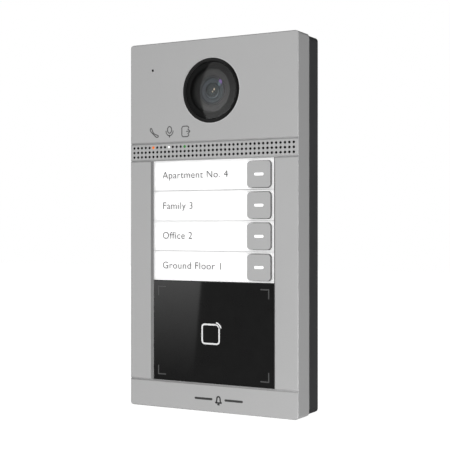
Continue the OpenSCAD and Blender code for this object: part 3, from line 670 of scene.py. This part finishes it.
# %% Copies of the mechanical pieces with rounded edges
def flatten_square_on(mesh):
    """Faces square to an axis keep their own normal, so the rounds beside them don't tilt it."""
    normals = np.empty(len(mesh.polygons) * 3)
    mesh.polygons.foreach_get("normal", normals)
    square_on = abs(normals.reshape(-1, 3)).max(axis=1) > 0.9999
    mesh.polygons.foreach_set("use_smooth", ~square_on)


SHARP, SOFT_CREASE = 28, 50


def edges_where(net, pick):
    """Edges between two faces that turn by more than SHARP degrees, where pick agrees."""
    limit = math.radians(SHARP)
    edges = [e for e in net.edges if len(e.link_faces) == 2 and e.calc_face_angle(0) > limit]
    return [e for e in edges if not pick or pick((e.verts[0].co + e.verts[1].co) / 2, e)]


def softened(node, width, pick=None, steps=2, body="station", also=None):
    """The node's mesh, its sharp edges rounded by width; also is a second choice and width."""
    net = bmesh.new()
    net.from_mesh(NODES[node].data)
    bmesh.ops.remove_doubles(net, verts=net.verts, dist=2e-6)
    bmesh.ops.dissolve_limit(
        net, angle_limit=math.radians(0.4), verts=net.verts, edges=net.edges, delimit={"NORMAL"})
    edges = edges_where(net, pick)
    bmesh.ops.bevel(
        net, geom=edges, offset=width, offset_type="OFFSET", segments=steps, profile=0.5,
        affect="EDGES", clamp_overlap=True)
    if also:
        bmesh.ops.bevel(
            net, geom=edges_where(net, also[0]), offset=also[1], offset_type="OFFSET", segments=1,
            affect="EDGES")
    mesh = bpy.data.meshes.new(node + "_soft")
    net.to_mesh(mesh)
    net.free()
    piece = dress_piece(node + "_soft", mesh, SLOT_OF[node], None, body, (node,), SOFT_CREASE)
    flatten_square_on(mesh)
    print(node, "edges rounded:", len(edges), "faces:", len(mesh.polygons))
    return piece


SLOT_OF = {part["node"]: part["material_slot"] for part in frame["record"]["subparts"]}
HALF_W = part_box("front_panel")[1].x
GRILLE_LOW, GRILLE_HIGH = 34.6 * MM, 41.6 * MM
MIC = (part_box("microphone_boot")[0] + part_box("microphone_boot")[1]) / 2
HOLE_ROUND = 0.13 * MM


def in_hole(middle, edge):
    """The front mouths of the speaker holes and of the microphone hole."""
    at_front = all(abs(v.co.y - FACE_Y) < 0.01 * MM for v in edge.verts)
    in_grille = GRILLE_LOW < middle.z < GRILLE_HIGH and abs(middle.x) < HALF_W - 0.6 * MM
    in_mic = math.hypot(middle.x - MIC.x, middle.z - MIC.z) < 2 * MM
    return at_front and edge.calc_length() < 0.6 * MM and (in_grille or in_mic)


def panel_edge(middle, edge):
    """Every other edge near the front of the panel."""
    return all(v.co.y < FACE_Y + 1.0 * MM for v in edge.verts) and not in_hole(middle, edge)


panel = softened("front_panel", 0.16 * MM, panel_edge, also=(in_hole, HOLE_ROUND))

# %% [markdown]
# ## Second coats
# A hole, a groove or a deep wall gets less light than the face, and less than three soft boxes
# can show on so small a scale. Instead of more lamps, those faces get a darker paint of their
# own. They are chosen by where they lie and which way they look, as whole arrays.

# %% Darker paint in the holes, grooves and opening
GROOVES = np.array([42.67, 33.42, -80.6]) * MM
OPENING_FOOT, OPENING_TOP = -80 * MM, 34 * MM


def face_table(piece):
    """The middles and the normals of the piece's faces, each as three rows x, y, z."""
    count = len(piece.data.polygons)
    middle, normal = np.empty(count * 3), np.empty(count * 3)
    piece.data.polygons.foreach_get("center", middle)
    piece.data.polygons.foreach_get("normal", normal)
    return middle.reshape(-1, 3).T, normal.reshape(-1, 3).T


def second_coat(piece, chosen, finish):
    """The chosen faces that still wear the first finish get another one."""
    piece.data.materials.append(finish.material)
    index = np.empty(len(chosen), np.int32)
    piece.data.polygons.foreach_get("material_index", index)
    index[chosen & (index == 0)] = len(piece.data.materials) - 1
    piece.data.polygons.foreach_set("material_index", index)
    print(piece.name, "faces in", finish.material.name + ":", int(chosen.sum()))


(x, y, z), (facing_x, facing_y, _) = face_table(panel)
behind = y - FACE_Y
in_band = (z > GRILLE_LOW) & (z < GRILLE_HIGH) & (abs(x) < HALF_W - 0.6 * MM)
in_mic = np.hypot(x - MIC.x, z - MIC.z) < 1.5 * MM
in_any_hole = (in_band | in_mic) & (abs(facing_y) < 0.95) & (behind < 2.5 * MM)
near_groove = np.min([abs(z - height) for height in GROOVES], axis=0) < 0.8 * MM
in_groove = near_groove & (behind > 0.1 * MM) & (behind < 1.0 * MM) & (abs(x) < HALF_W - 0.05 * MM)
on_wall = (abs(facing_x) > 0.3) & (behind > 0.12 * MM) & (behind < 6 * MM)
on_wall = on_wall & (abs(x) < HALF_W - 5 * MM) & (z < OPENING_TOP) & (z > OPENING_FOOT)
second_coat(panel, in_any_hole, soft_black("hole_black", 0.004))
second_coat(panel, in_groove, satin_paint("groove_paint", 0.42))
second_coat(panel, on_wall, satin_paint("wall_paint", 0.2))

# %% [markdown]
# ## The camera
# The camera is a set of rings on one axis: a gloss black bezel, a clear dome, a black band
# printed just under the dome's front, a dark baffle, and the lens with its coated front glass.
# Each is a profile, given as radius and depth behind the face, turned round that axis.

# %% Turning a profile round the camera's axis
AXIS = (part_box("camera_bezel")[0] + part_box("camera_bezel")[1]) / 2
BEZEL_R = (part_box("camera_bezel")[1].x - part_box("camera_bezel")[0].x) / 2 / MM - 2.2
DOME_R = BEZEL_R - 1.9
DOME_TOP = (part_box("camera_dome")[0].y - FACE_Y) / MM
print("bezel radius", round(BEZEL_R, 2), "dome proud by", round(-DOME_TOP, 2))


def turned(profile, closed=True, sides=120):
    """Point (i, a) = axis + radius_i * (cos a, sin a), at depth_i behind the face."""
    radius, depth = np.array(profile).T * MM
    a = np.linspace(0, 2 * np.pi, sides, endpoint=False)[:, None]
    points = np.stack([
        AXIS.x + radius * np.cos(a), FACE_Y + depth + 0 * a, AXIS.z + radius * np.sin(a)], axis=-1)
    return shell_of(points, wrap_rows=True, wrap_columns=closed)


def cap_curve(edge_r, edge_depth, top_depth, count=14):
    """Profile of a ball's cap from its edge to the axis: depth = top + R - sqrt(R^2 - r^2)."""
    rise = edge_depth - top_depth
    ball = (edge_r ** 2 + rise ** 2) / (2 * rise)
    r = np.linspace(edge_r, 0, count)
    return list(zip(r, top_depth + ball - np.sqrt(ball ** 2 - r ** 2)))


def round_corner(r, depth, size, start, steps=5):
    """A quarter round of the given size about (r, depth), from start degrees on."""
    t = np.radians(np.linspace(start, start + 90, steps))
    return list(zip(r + size * np.cos(t), depth - size * np.sin(t)))


# %% Bezel, rim and baffle
bezel = round_corner(BEZEL_R - 0.22, -0.08, 0.22, 0) + [(BEZEL_R - 0.35, -0.29), (BEZEL_R - 1.0, -0.1)]
bezel += [(BEZEL_R - 1.15, -0.06), (BEZEL_R - 1.25, -0.13), (DOME_R + 0.22, -0.13)]
bezel += [(DOME_R + 0.06, 0.0), (DOME_R + 0.04, 3.9), (BEZEL_R - 3.2, 3.9), (BEZEL_R - 3.2, 4.0)]
bezel += [(BEZEL_R, 4.0)]
make_piece("camera_bezel_ring", [turned(bezel)], "bezel_plastic", instead_of=("camera_bezel",))

rim = [(BEZEL_R + 0.04, 0.3), (BEZEL_R + 0.04, 0.0), (BEZEL_R + 0.12, -0.06), (BEZEL_R + 0.34, -0.06)]
rim += [(BEZEL_R + 0.46, 0.02), (BEZEL_R + 0.46, 0.3)]
# Painted highlight: the rim wears the panel's paint made lighter, standing in for its lit edge.
rim_painted_highlight = satin_paint("rim_painted_highlight", 0.62, rough=0.3, lift=2e-6)
make_piece("camera_rim", [turned(rim)], "panel_metal", rim_painted_highlight)

baffle = [(12.9, 1.55), (12.2, 1.42), (7.6, 1.42), (7.4, 1.6), (7.4, 4.0), (12.9, 4.0)]
make_piece("baffle_ring", [turned(baffle)], "baffle_plastic", instead_of=("camera_baffle",))
print("bezel, rim and baffle turned")

# %% [markdown]
# ## The dome
# The dome is a thick clear cap. Glass that bends light would be true to life but slow and noisy,
# so only the outer skin carries a reflection. The inner skin is nearly plain see-through, with a
# trace of gloss that grows towards the edge. The black band lies just under the outer skin.

# %% Dome with its printed band
DOME_THICK = 1.3
clear_inside = Finish("clear_inside", Base_Color=grey(1), Metallic=1.0, Roughness=0.02)
around = clear_inside.node("ShaderNodeSeparateXYZ", Vector=clear_inside.place)
across, up = (clear_inside.num(around.outputs[k]) for k in "XZ")
from_axis = ((across - AXIS.x) ** 2 + (up - AXIS.z) ** 2) ** 0.5
clear_inside.layer(grey(0.98), clamped((from_axis - 5.5 * MM) / (3.5 * MM)) * 0.045)


def build_dome():
    """Outer and inner caps joined by a wall; only the outer one carries the full gloss."""
    outer = cap_curve(DOME_R, 0.2, DOME_TOP, 28)
    inner = cap_curve(DOME_R - DOME_THICK, 0.95, DOME_TOP + DOME_THICK, 20)
    profile = outer[::-1] + [(DOME_R, 1.4), (DOME_R - DOME_THICK, 1.4)] + inner
    dome = make_piece(
        "dome_shell", [turned(profile, closed=False)], "dome_clear", instead_of=("camera_dome",))
    second_coat(dome, face_table(dome)[1][1] > -0.5, clear_inside)


band_print = soft_black("band_print", 0.006, 0.6 * MM)


def build_band(inner_r=11.4, under=0.06, thick=0.08):
    """The band follows the dome's front from inner_r to the edge, a little under it."""
    curve = np.array([p for p in cap_curve(DOME_R, 0.2, DOME_TOP, 60) if p[0] > inner_r])
    curve[:, 0] *= (DOME_R - 0.03) / DOME_R
    front = curve + [0, under]
    back = (curve + [0, under + thick])[::-1]
    make_piece("dome_band", [turned(np.vstack([front, back]))], "bezel_plastic", band_print)


build_dome()
build_band()
print("dome built")

# %% [markdown]
# ## The lens
# A wide lens shows as nested rings: a dark sloping rim, a grey-blue retaining ring, a thin
# machined edge with a painted highlight along its lower side, and a dark inner glass. The
# coating tints every reflection: green where the glass is seen face on, purple towards its rim.
# Four small glowing beads on the glass are painted highlights and reflections.

# %% Lens rings and coated glass
def coated_glass(name, gloss=0.5):
    """Clear glass whose reflection goes from green face on to purple at a slant."""
    finish = Finish(name, Metallic=1.0, Roughness=0.03)
    slant = finish.num(finish.node("ShaderNodeLayerWeight", Blend=0.35).outputs["Facing"])
    finish.drive("Base Color", finish.blend(slant, (0.45, 0.8, 0.7, 1), (0.62, 0.38, 1.0, 1)))
    edge = finish.num(finish.node("ShaderNodeFresnel", IOR=1.5).outputs[0])
    finish.layer((0.86, 0.9, 0.94, 1), edge * gloss)
    return finish


def ring_metal(name, shade, tint, rough=0.4, foot=None):
    """Anodised aluminium with turning marks; with foot, a painted highlight: lighter below the axis,
    darker above.
    """
    finish = Finish(name, Metallic=0.35)
    apart = finish.node("ShaderNodeSeparateXYZ", Vector=finish.node(
        "ShaderNodeMapping", Vector=finish.place, Location=(-AXIS.x, 0, -AXIS.z)).outputs[0])
    x = finish.num(apart.outputs["X"])
    z = finish.num(apart.outputs["Z"])
    radius = (x * x + z * z) ** 0.5 * (1 / (0.12 * MM))
    groove = radius.join("SINE", radius) * 0.5 + 0.5
    # Painted highlight: lighter colour below the axis, darker above, fading over foot in height.
    if foot:
        groove = groove * 0.15 + clamped(0.25 - z / foot) * 0.85
    low = tuple(shade * (0.15 if foot else 0.8) * t for t in tint) + (1,)
    high = tuple(shade * 1.2 * t for t in tint) + (1,)
    finish.drive("Base Color", finish.blend(groove, low, high))
    finish.drive("Roughness", rough - 0.05 + groove * 0.1)
    return finish


LENS_FRONT = 0.96
rim_metal = ring_metal("lens_rim_metal", 0.045, (0.85, 0.97, 1.1))
rim = [(7.25, 4.0), (7.25, LENS_FRONT + 0.1), (7.12, LENS_FRONT), (6.95, LENS_FRONT)]
rim += [(6.3, LENS_FRONT + 0.45), (6.15, LENS_FRONT + 0.6), (6.15, 4.0)]
make_piece("lens_rim", [turned(rim)], "barrel_metal", rim_metal, instead_of=("lens_barrel",))
retainer = [(6.15, 4.0), (6.15, 1.62), (4.5, 1.5), (4.1, 1.75), (4.1, 4.0)]
make_piece("lens_retainer", [turned(retainer)], "barrel_metal",
           ring_metal("retainer_metal", 0.11, (0.93, 0.98, 1.06)))
bright = [(4.05, 3.6), (4.05, 1.7), (3.86, 1.45), (3.66, 1.4), (3.4, 1.66), (3.4, 3.6)]
make_piece("lens_inner_edge", [turned(bright)], "barrel_metal",
           ring_metal("edge_metal_painted_highlight", 0.34, (0.97, 0.99, 1.03), rough=0.3, foot=5 * MM))
inner_glass = cap_curve(3.42, 1.7, 1.25, 10)[::-1] + [(3.42, 3.4), (0, 3.4)]
dark_glass = gloss_plastic("dark_glass", 0.035, rough=0.07)
make_piece("lens_inner_glass", [turned(inner_glass, closed=False)], "lens_glass", dark_glass)
FINISHES["lens_glass"] = coated_glass("coated_glass")
front_glass = cap_curve(6.2, 1.28, 0.15, 18)[::-1] + [(6.2, 1.34)] + cap_curve(6.2, 1.36, 0.3, 12)
lens = make_piece("front_lens_glass", [turned(front_glass, closed=False)], "lens_glass",
                  instead_of=("front_lens",))
second_coat(lens, face_table(lens)[1][1] > -0.3, clear_inside)


def glint(name, x, z, size, shade, strength, depth=1.22):
    """A painted glint: a glowing bead, a ball's points squeezed to a tenth in depth, drawn out in
    height.
    """
    ball = sphere_grid(size * MM, 10, 20)[:, :-1] * (1, 0.1, 1.25)
    ball = ball + (AXIS.x + x * MM, FACE_Y + depth * MM, AXIS.z + z * MM)
    finish = lit_white(name, strength, shade=shade, body=0.2, cloud_size=0.3 * MM)
    make_piece(name, [shell_of(ball)], "lens_glass", finish)


# Painted highlights and reflections: two beige beads on the inner glass stand for lamp highlights, a
# purple and a blue one near the rim for a reflection in the coating.
glint("lens_painted_highlight_1", 1.3, 0.6, 0.42, (1.0, 0.72, 0.5), 0.75)
glint("lens_painted_highlight_2", 0.3, -0.55, 0.34, (1.0, 0.78, 0.55), 0.5)
glint("coating_painted_reflection_1", 5.05, 4.0, 1.05, (0.45, 0.24, 0.8), 0.24, depth=0.9)
glint("coating_painted_reflection_2", 4.5, 3.1, 0.9, (0.35, 0.5, 0.6), 0.14, depth=0.85)
print("lens built")

# %% [markdown]
# ## Print on the panel
# The three pictograms, the marks on the reader and the bell at the foot are ink: strokes of even
# width a few hundredths of a millimetre thick. They could be flat images, but a stroke of real
# thickness needs no image and stays sharp close up. A stroke is a small rectangle carried along
# a path, with its ends rounded by narrowing it over half its width.

# %% Strokes of ink
INK = 0.03 * MM


def through(points, closed, steps=6):
    """Catmull-Rom: each span is a cubic whose slopes are half the steps between its neighbours."""
    p = np.array(points, float)
    if closed:
        before, here, after, later = (np.roll(p, k, axis=0) for k in (1, 0, -1, -2))
    else:
        p = np.vstack([2 * p[0] - p[1], p, 2 * p[-1] - p[-2]])
        before, here, after, later = p[:-3], p[1:-2], p[2:-1], p[3:]
    t = np.linspace(0, 1, steps, endpoint=False)[None, :, None]
    b, h, a, l = (q[:, None, :] for q in (before, here, after, later))
    curve = h + (a - b) * t / 2 + (2 * b - 5 * h + 4 * a - l) * t ** 2 / 2
    curve = (curve + (3 * h - b - 3 * a + l) * t ** 3 / 2).reshape(-1, 2)
    return curve if closed else np.vstack([curve, points[-1]])


def stroke(points, width, depth, closed=False, smooth=True):
    """Rectangle width wide carried along the path: p(t) +- n(t) * w / 2, INK either way in depth."""
    path = (through(points, closed) if smooth else np.array(points, float)) * MM
    half = np.full(len(path), width * MM / 2)
    if closed:
        tangent = np.roll(path, -1, axis=0) - np.roll(path, 1, axis=0)
    else:
        turn = np.radians([75, 50, 25])
        reach = half[0] * np.sin(turn)[:, None]
        first = (path[0] - path[1]) / np.linalg.norm(path[0] - path[1])
        last = (path[-1] - path[-2]) / np.linalg.norm(path[-1] - path[-2])
        path = np.vstack([path[0] + first * reach, path, path[-1] + last * reach[::-1]])
        half = np.concatenate([half[0] * np.cos(turn), half, half[0] * np.cos(turn)[::-1]])
        tangent = np.gradient(path, axis=0)
    tangent /= np.linalg.norm(tangent, axis=1, keepdims=True)
    normal = np.stack([-tangent[:, 1], tangent[:, 0]], axis=-1) * half[:, None]
    left, right = path + normal, path - normal
    top = np.full(len(path), FACE_Y + depth * MM - INK)
    foot = np.full(len(path), FACE_Y + depth * MM + INK)
    corners = [(left, top), (right, top), (right, foot), (left, foot)]
    points = np.stack([np.stack([p[:, 0], y, p[:, 1]], axis=-1) for p, y in corners], axis=1)
    return shell_of(points, wrap_rows=closed, wrap_columns=True, caps=not closed)


def oval(x, z, across, up, start=0, end=360, count=25):
    """Part of an ellipse: (x + across * cos t, z + up * sin t), t from start to end degrees."""
    t = np.radians(np.linspace(start, end, count))
    return np.stack([x + across * np.cos(t), z + up * np.sin(t)], axis=-1)


def round_square(x, z, w, h, r, count=9):
    """Corner k is centred r in from both sides and turns from k to k + 1 quarter turns."""
    t = np.linspace(0, np.pi / 2, count)
    turn = t[None, :] + np.arange(4)[:, None] * np.pi / 2
    cx = np.array([1, -1, -1, 1])[:, None] * (w / 2 - r)
    cz = np.array([1, 1, -1, -1])[:, None] * (h / 2 - r)
    return np.stack([x + cx + r * np.cos(turn), z + cz + r * np.sin(turn)], axis=-1).reshape(-1, 2)


def printed_ink(name, shade, rough=0.5):
    finish = Finish(name, IOR=1.4)
    speck = finish.noise(0.15 * MM, 2)
    finish.drive("Base Color", finish.blend(speck, grey(shade * 0.85), grey(shade * 1.15)))
    finish.drive("Roughness", rough + finish.noise(0.5 * MM) * 0.1)
    return finish


grey_ink = printed_ink("grey_ink", 0.1)
dark_ink = printed_ink("dark_ink", 0.045)
LINE = 0.55
print("ink thickness in mm:", INK / MM)

# %% [markdown]
# ## Pictograms
# Three line drawings stand under the camera, one for each indicator: a telephone handset for
# calling, a microphone for talking and a door with an arrow for unlocking. They could be typed in
# as lists of points, but each is simpler than that: a bowed bar with two lobes, an oval in a half
# oval, and a rounded square that stays open on one side. So each is worked out from a few sizes.

# %% Handset, microphone and door
ICON_Z = 48.3
CALL_X, TALK_X, DOOR_X = -34.2, -24.8, -15.2


def handset(x, z, length=6.4, slant=-43, sag=0.75, grip=0.27, lobe=1.15, count=48):
    """A bowed bar with a lobe at each end.

    Along the slant: length / 2 * cos t. Across it: (grip + lobe * cos^2 t) * sin t - sag * sin^2 t.
    """
    t = np.linspace(0, 2 * np.pi, count, endpoint=False)
    along = length / 2 * np.cos(t)
    over = (grip + lobe * np.cos(t) ** 2) * np.sin(t) - sag * np.sin(t) ** 2
    c, s = math.cos(math.radians(slant)), math.sin(math.radians(slant))
    return np.stack([x + along * c - over * s, z + along * s + over * c], axis=-1)


def microphone(x, z):
    """An oval capsule, half an oval under it as the cradle, and a short stem."""
    foot = z + 0.5 - 2.4
    capsule = oval(x, z + 1.1, 1.25, 1.73)[:-1]
    cradle = oval(x, z + 0.5, 2.15, 2.4, 180, 360)
    return [
        stroke(capsule, LINE, 0, closed=True, smooth=False), stroke(cradle, 0.5, 0, smooth=False),
        stroke([(x, foot), (x, foot - 0.6)], 0.7, 0)]


def doorway(x, z):
    """A rounded square left open on its right side, and the arrow's shaft through the opening."""
    frame_line = round_square(x, z, 4.15, 5.4, 1.1)
    return [stroke(frame_line, LINE, 0, smooth=False), stroke([(x + 0.7, z), (x + 2.2, z)], 0.45, 0)]


def arrow_head(x, z, back=1.25, spread=1.15):
    """Two straight arms that meet at the tip (x, z)."""
    return [stroke([(x - back, z + spread), (x, z), (x - back, z - spread)], 0.5, 0, smooth=False)]


make_piece("call_pictogram", [
    stroke(handset(CALL_X, ICON_Z), LINE, 0, closed=True, smooth=False)], "panel_metal", grey_ink)
make_piece("talk_pictogram", microphone(TALK_X, ICON_Z), "panel_metal", grey_ink)
make_piece("door_pictogram", doorway(DOOR_X, ICON_Z - 0.1), "panel_metal", grey_ink)
make_piece("door_arrow_head", arrow_head(DOOR_X + 2.85, ICON_Z - 0.15), "panel_metal", dark_ink)
print("pictograms at x", (CALL_X, TALK_X, DOOR_X))

# %% [markdown]
# ## Indicator heads
# Behind three of the speaker holes ends a clear pipe that carries the light of a lamp on the
# board. A bare pipe end is flat, so each gets a shallow round head that fills its hole.

# %% Heads of the indicator pipes
HEAD_R = {"call": 0.74, "talk": 0.55, "unlock": 0.74}


def lit_head(node, slot, size):
    """A shallow cap over a light pipe: radius size, proud of the face by a tenth of a millimetre."""
    low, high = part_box(node)
    middle = (low + high) / 2
    t = np.linspace(0, np.pi / 2, 5)
    curve = np.stack([size * np.sin(t), -0.1 * np.cos(t)], axis=-1)
    profile = np.vstack([curve, [[size, 0.05], [0, 0.05]]])
    radius, depth = profile.T * MM
    a = np.linspace(0, 2 * np.pi, 24, endpoint=False)[:, None]
    points = np.stack([
        middle.x + radius * np.cos(a), FACE_Y + depth + 0 * a, middle.z + radius * np.sin(a)], axis=-1)
    make_piece(node + "_head", [shell_of(points, wrap_rows=True, wrap_columns=False)], slot)


for name, size in HEAD_R.items():
    lit_head("indicator_" + name, SLOT_OF["indicator_" + name], size)
print("indicator heads added")

# %% [markdown]
# ## The mark at the foot
# The narrow field below the reader carries a plain bell between two bars. Half the bell is given
# as four points from its rim to its shoulder and mirrored, and a smooth curve goes through them.

# %% Bell motif at the foot
FOOT_X, FOOT_Z = 4.5, -88.5
half = np.array([(1.5, -1.5), (1.15, -1.1), (1.0, -0.1), (0.8, 1.1)])
bell = np.vstack([half * (-1, 1), [(0.0, 1.6)], half[::-1]]) + (FOOT_X, FOOT_Z)
clapper = [(FOOT_X - 0.3, FOOT_Z - 2.4), (FOOT_X + 0.3, FOOT_Z - 2.4)]
bars = [[(FOOT_X + side * 13.5, FOOT_Z), (FOOT_X + side * 4.1, FOOT_Z)] for side in (-1, 1)]
make_piece("foot_motif", [
    stroke(bell, 0.8, 0, closed=True), stroke(clapper, 0.9, 0),
    *(stroke(bar, 1.15, 0) for bar in bars)], "panel_metal", dark_ink)
print("bell motif at", (FOOT_X, FOOT_Z))

# %% [markdown]
# ## Marks on the reader
# A card held to the plate is read anywhere inside four corner marks. In the middle stand a card
# with one corner open and two waves leaving it, which are parts of circles about one centre.

# %% Marks on the reader cover
READER_DEPTH = (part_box("reader_cover")[0].y - FACE_Y) / MM
mark_ink = printed_ink("mark_ink", 0.075)
# The white ink glows faintly: painted light that keeps it bright on the dark plate.
white_ink_painted_glow = lit_white("white_ink_painted_glow", 0.04, body=0.85, cloud_size=1 * MM)
ARM, MARK_X, MARK_FOOT, MARK_TOP = 4.4, 32.4, -77.8, -32.1
corner = np.array([(0.0, ARM), (0.0, 1.0), (0.0, 0.0), (1.0, 0.0), (ARM, 0.0)])
arms = []
for side in (-1, 1):
    for level, rise in ((MARK_FOOT, 1), (MARK_TOP, -1)):
        path = (corner - [MARK_X, 0]) * [-side, rise] + [0, level]
        arms.append(stroke(path, 0.6, READER_DEPTH))
make_piece("reader_marks", arms, "reader_black", mark_ink)


CARD_X, CARD_Z, CARD_W, CARD_H = -0.85, -55.65, 10.0, 9.8
OPEN = 2.15
right, top = CARD_X + CARD_W / 2, CARD_Z + CARD_H / 2
square = round_square(CARD_X, CARD_Z, CARD_W, CARD_H, 1.5)
card_outline = np.vstack([[(right - OPEN, top)], square[9:], [(right, top - OPEN)]])
waves = [stroke(oval(1.5, -53.4, r, r, 72, 20, 9), width, READER_DEPTH, smooth=False)
         for r, width in ((3.8, 0.75), (2.75, 0.6))]
make_piece("card_pictogram", [
    stroke(card_outline, 0.85, READER_DEPTH, smooth=False), *waves], "reader_black", white_ink_painted_glow)
print("reader printed at depth", round(READER_DEPTH, 2))

# %% [markdown]
# ## Name rows
# Each row has a clear window over a lit card with a name in thin grey letters. The names here
# are plain place holders. The letters are outlines from Blender's own font, laid flat on the card
# and turned into a mesh before they are put in their place.

# %% Letters on the cards
WINDOW_DEPTH = (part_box("name_window_1")[0].y - FACE_Y) / MM
WINDOWS = [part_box(f"name_window_{i}") for i in range(1, 5)]
ROW_MIDDLES = [(low.z + high.z) / 2 / MM for low, high in WINDOWS]
NAME_LEFT, NAME_SIZE, NAME_THIN, NAME_SPACE = -30.0, 5.2, -0.003, 1.08
letter_ink = printed_ink("letter_ink", 0.05)
line_ink = printed_ink("line_ink", 0.7)


def label(name, words, middle, ink):
    """Flat letters whose point (u, v) lands at x = NAME_LEFT + u, z = middle + v on the window."""
    curve = bpy.data.curves.new(name, "FONT")
    curve.body = words
    curve.offset = NAME_THIN
    curve.space_character = NAME_SPACE
    curve.align_y = "CENTER"
    curve.extrude = 0.02 / NAME_SIZE
    curve.resolution_u = 4
    shape = bpy.data.objects.new(name, curve)
    bpy.context.scene.collection.objects.link(shape)
    bpy.context.view_layer.update()
    ready = shape.evaluated_get(bpy.context.evaluated_depsgraph_get())
    mesh = bpy.data.meshes.new_from_object(ready)
    bpy.data.objects.remove(shape)
    flat = np.empty(len(mesh.vertices) * 3)
    mesh.vertices.foreach_get("co", flat)
    u, v, w = flat.reshape(-1, 3).T * NAME_SIZE * MM
    front = FACE_Y + (WINDOW_DEPTH - 0.01) * MM
    place = np.stack([NAME_LEFT * MM + u, front - w, middle * MM + v], axis=-1)
    mesh.vertices.foreach_set("co", place.ravel())
    close_up(mesh)
    return dress_piece(name, mesh, "card_paper", ink, "station", (), 30)


NAMES = ("Apartment No. 4", "Family 3", "Office 2", "Ground Floor 1")
for i, (middle, words) in enumerate(zip(ROW_MIDDLES, NAMES)):
    label(f"name_letters_{i + 1}", words, middle, dark_ink if i == 3 else letter_ink)
print("rows at", [round(m, 2) for m in ROW_MIDDLES], "window depth", round(WINDOW_DEPTH, 2))

# %% [markdown]
# ## Lines between the rows
# Two windows meet along a narrow gap whose shade shows as a thin grey line; that line is painted
# shade, a grey stroke on the windows' front. Each card also has a faint rule near its top and
# bottom. Both are straight strokes from edge to edge.

# %% Seams and faint rules
RULE_LEFT, RULE_RIGHT, RULE_OFF = -35.6, 36.4, 6.9


def rule(z, width):
    """A straight line across all the cards at height z, on the windows' front."""
    return stroke([(RULE_LEFT, z), (RULE_RIGHT, z)], width, WINDOW_DEPTH, smooth=False)


# Painted shade: a grey stroke where the gap between two windows lies in shadow.
seam_painted_shade = printed_ink("seam_painted_shade", 0.5)
seams = [rule((low + high) / 2, 0.34) for low, high in zip(ROW_MIDDLES, ROW_MIDDLES[1:])]
make_piece("row_gap_painted_shade", seams, "seal_rubber", seam_painted_shade)
rules = [rule(middle + side * RULE_OFF, 0.12) for middle in ROW_MIDDLES for side in (-1, 1)]
make_piece("card_rules", rules, "card_paper", line_ink)
print("seams:", len(seams), "rules:", len(rules))

# %% [markdown]
# ## Call buttons
# Each button is a square key with round corners, painted like the panel. Its faces deep in the
# gap round it and its right side wear a dark plastic instead: painted shade, which draws the dark
# line beside it. The lit bar in its middle is a frosted insert.

# %% Buttons and their lit bars
side_painted_shade = grained_plastic("side_painted_shade", 0.15, grain=0.2 * MM, lift=4e-6)
PAINTED_SHADE_DEPTH = 1.2 * MM
for i in range(1, 5):
    key = softened(f"call_button_{i}", 0.25 * MM, steps=3, body=f"button_{i}")
    middle, normal = face_table(key)
    # Painted shade: the right side and the faces deep in the gap get the dark plastic.
    second_coat(key, (normal[0] > 0.5) | (middle[1] > FACE_Y + PAINTED_SHADE_DEPTH), side_painted_shade)
    softened(f"button_light_{i}", 0.12 * MM, body=f"button_{i}")

# %% [markdown]
# ## Back and hardware
# The rear cover, wall plate, screws, terminal block and tamper plunger are seen from the sides
# and behind, and the reader cover from the front. Their edges get the small rounds that moulding
# and stamping leave.

# %% Rear cover, plate and screws
softened("rear_cover", 0.25 * MM, lambda middle, edge: edge.calc_length() > 1.2 * MM)
SOFT_EDGES = {
    "wall_plate": 0.2, "reader_cover": 0.2, "security_screw": 0.12, "housing_screws": 0.12,
    "terminal_block": 0.15}
for node, width in SOFT_EDGES.items():
    softened(node, width * MM)
softened("tamper_plunger", 0.3 * MM, body="tamper", steps=3)
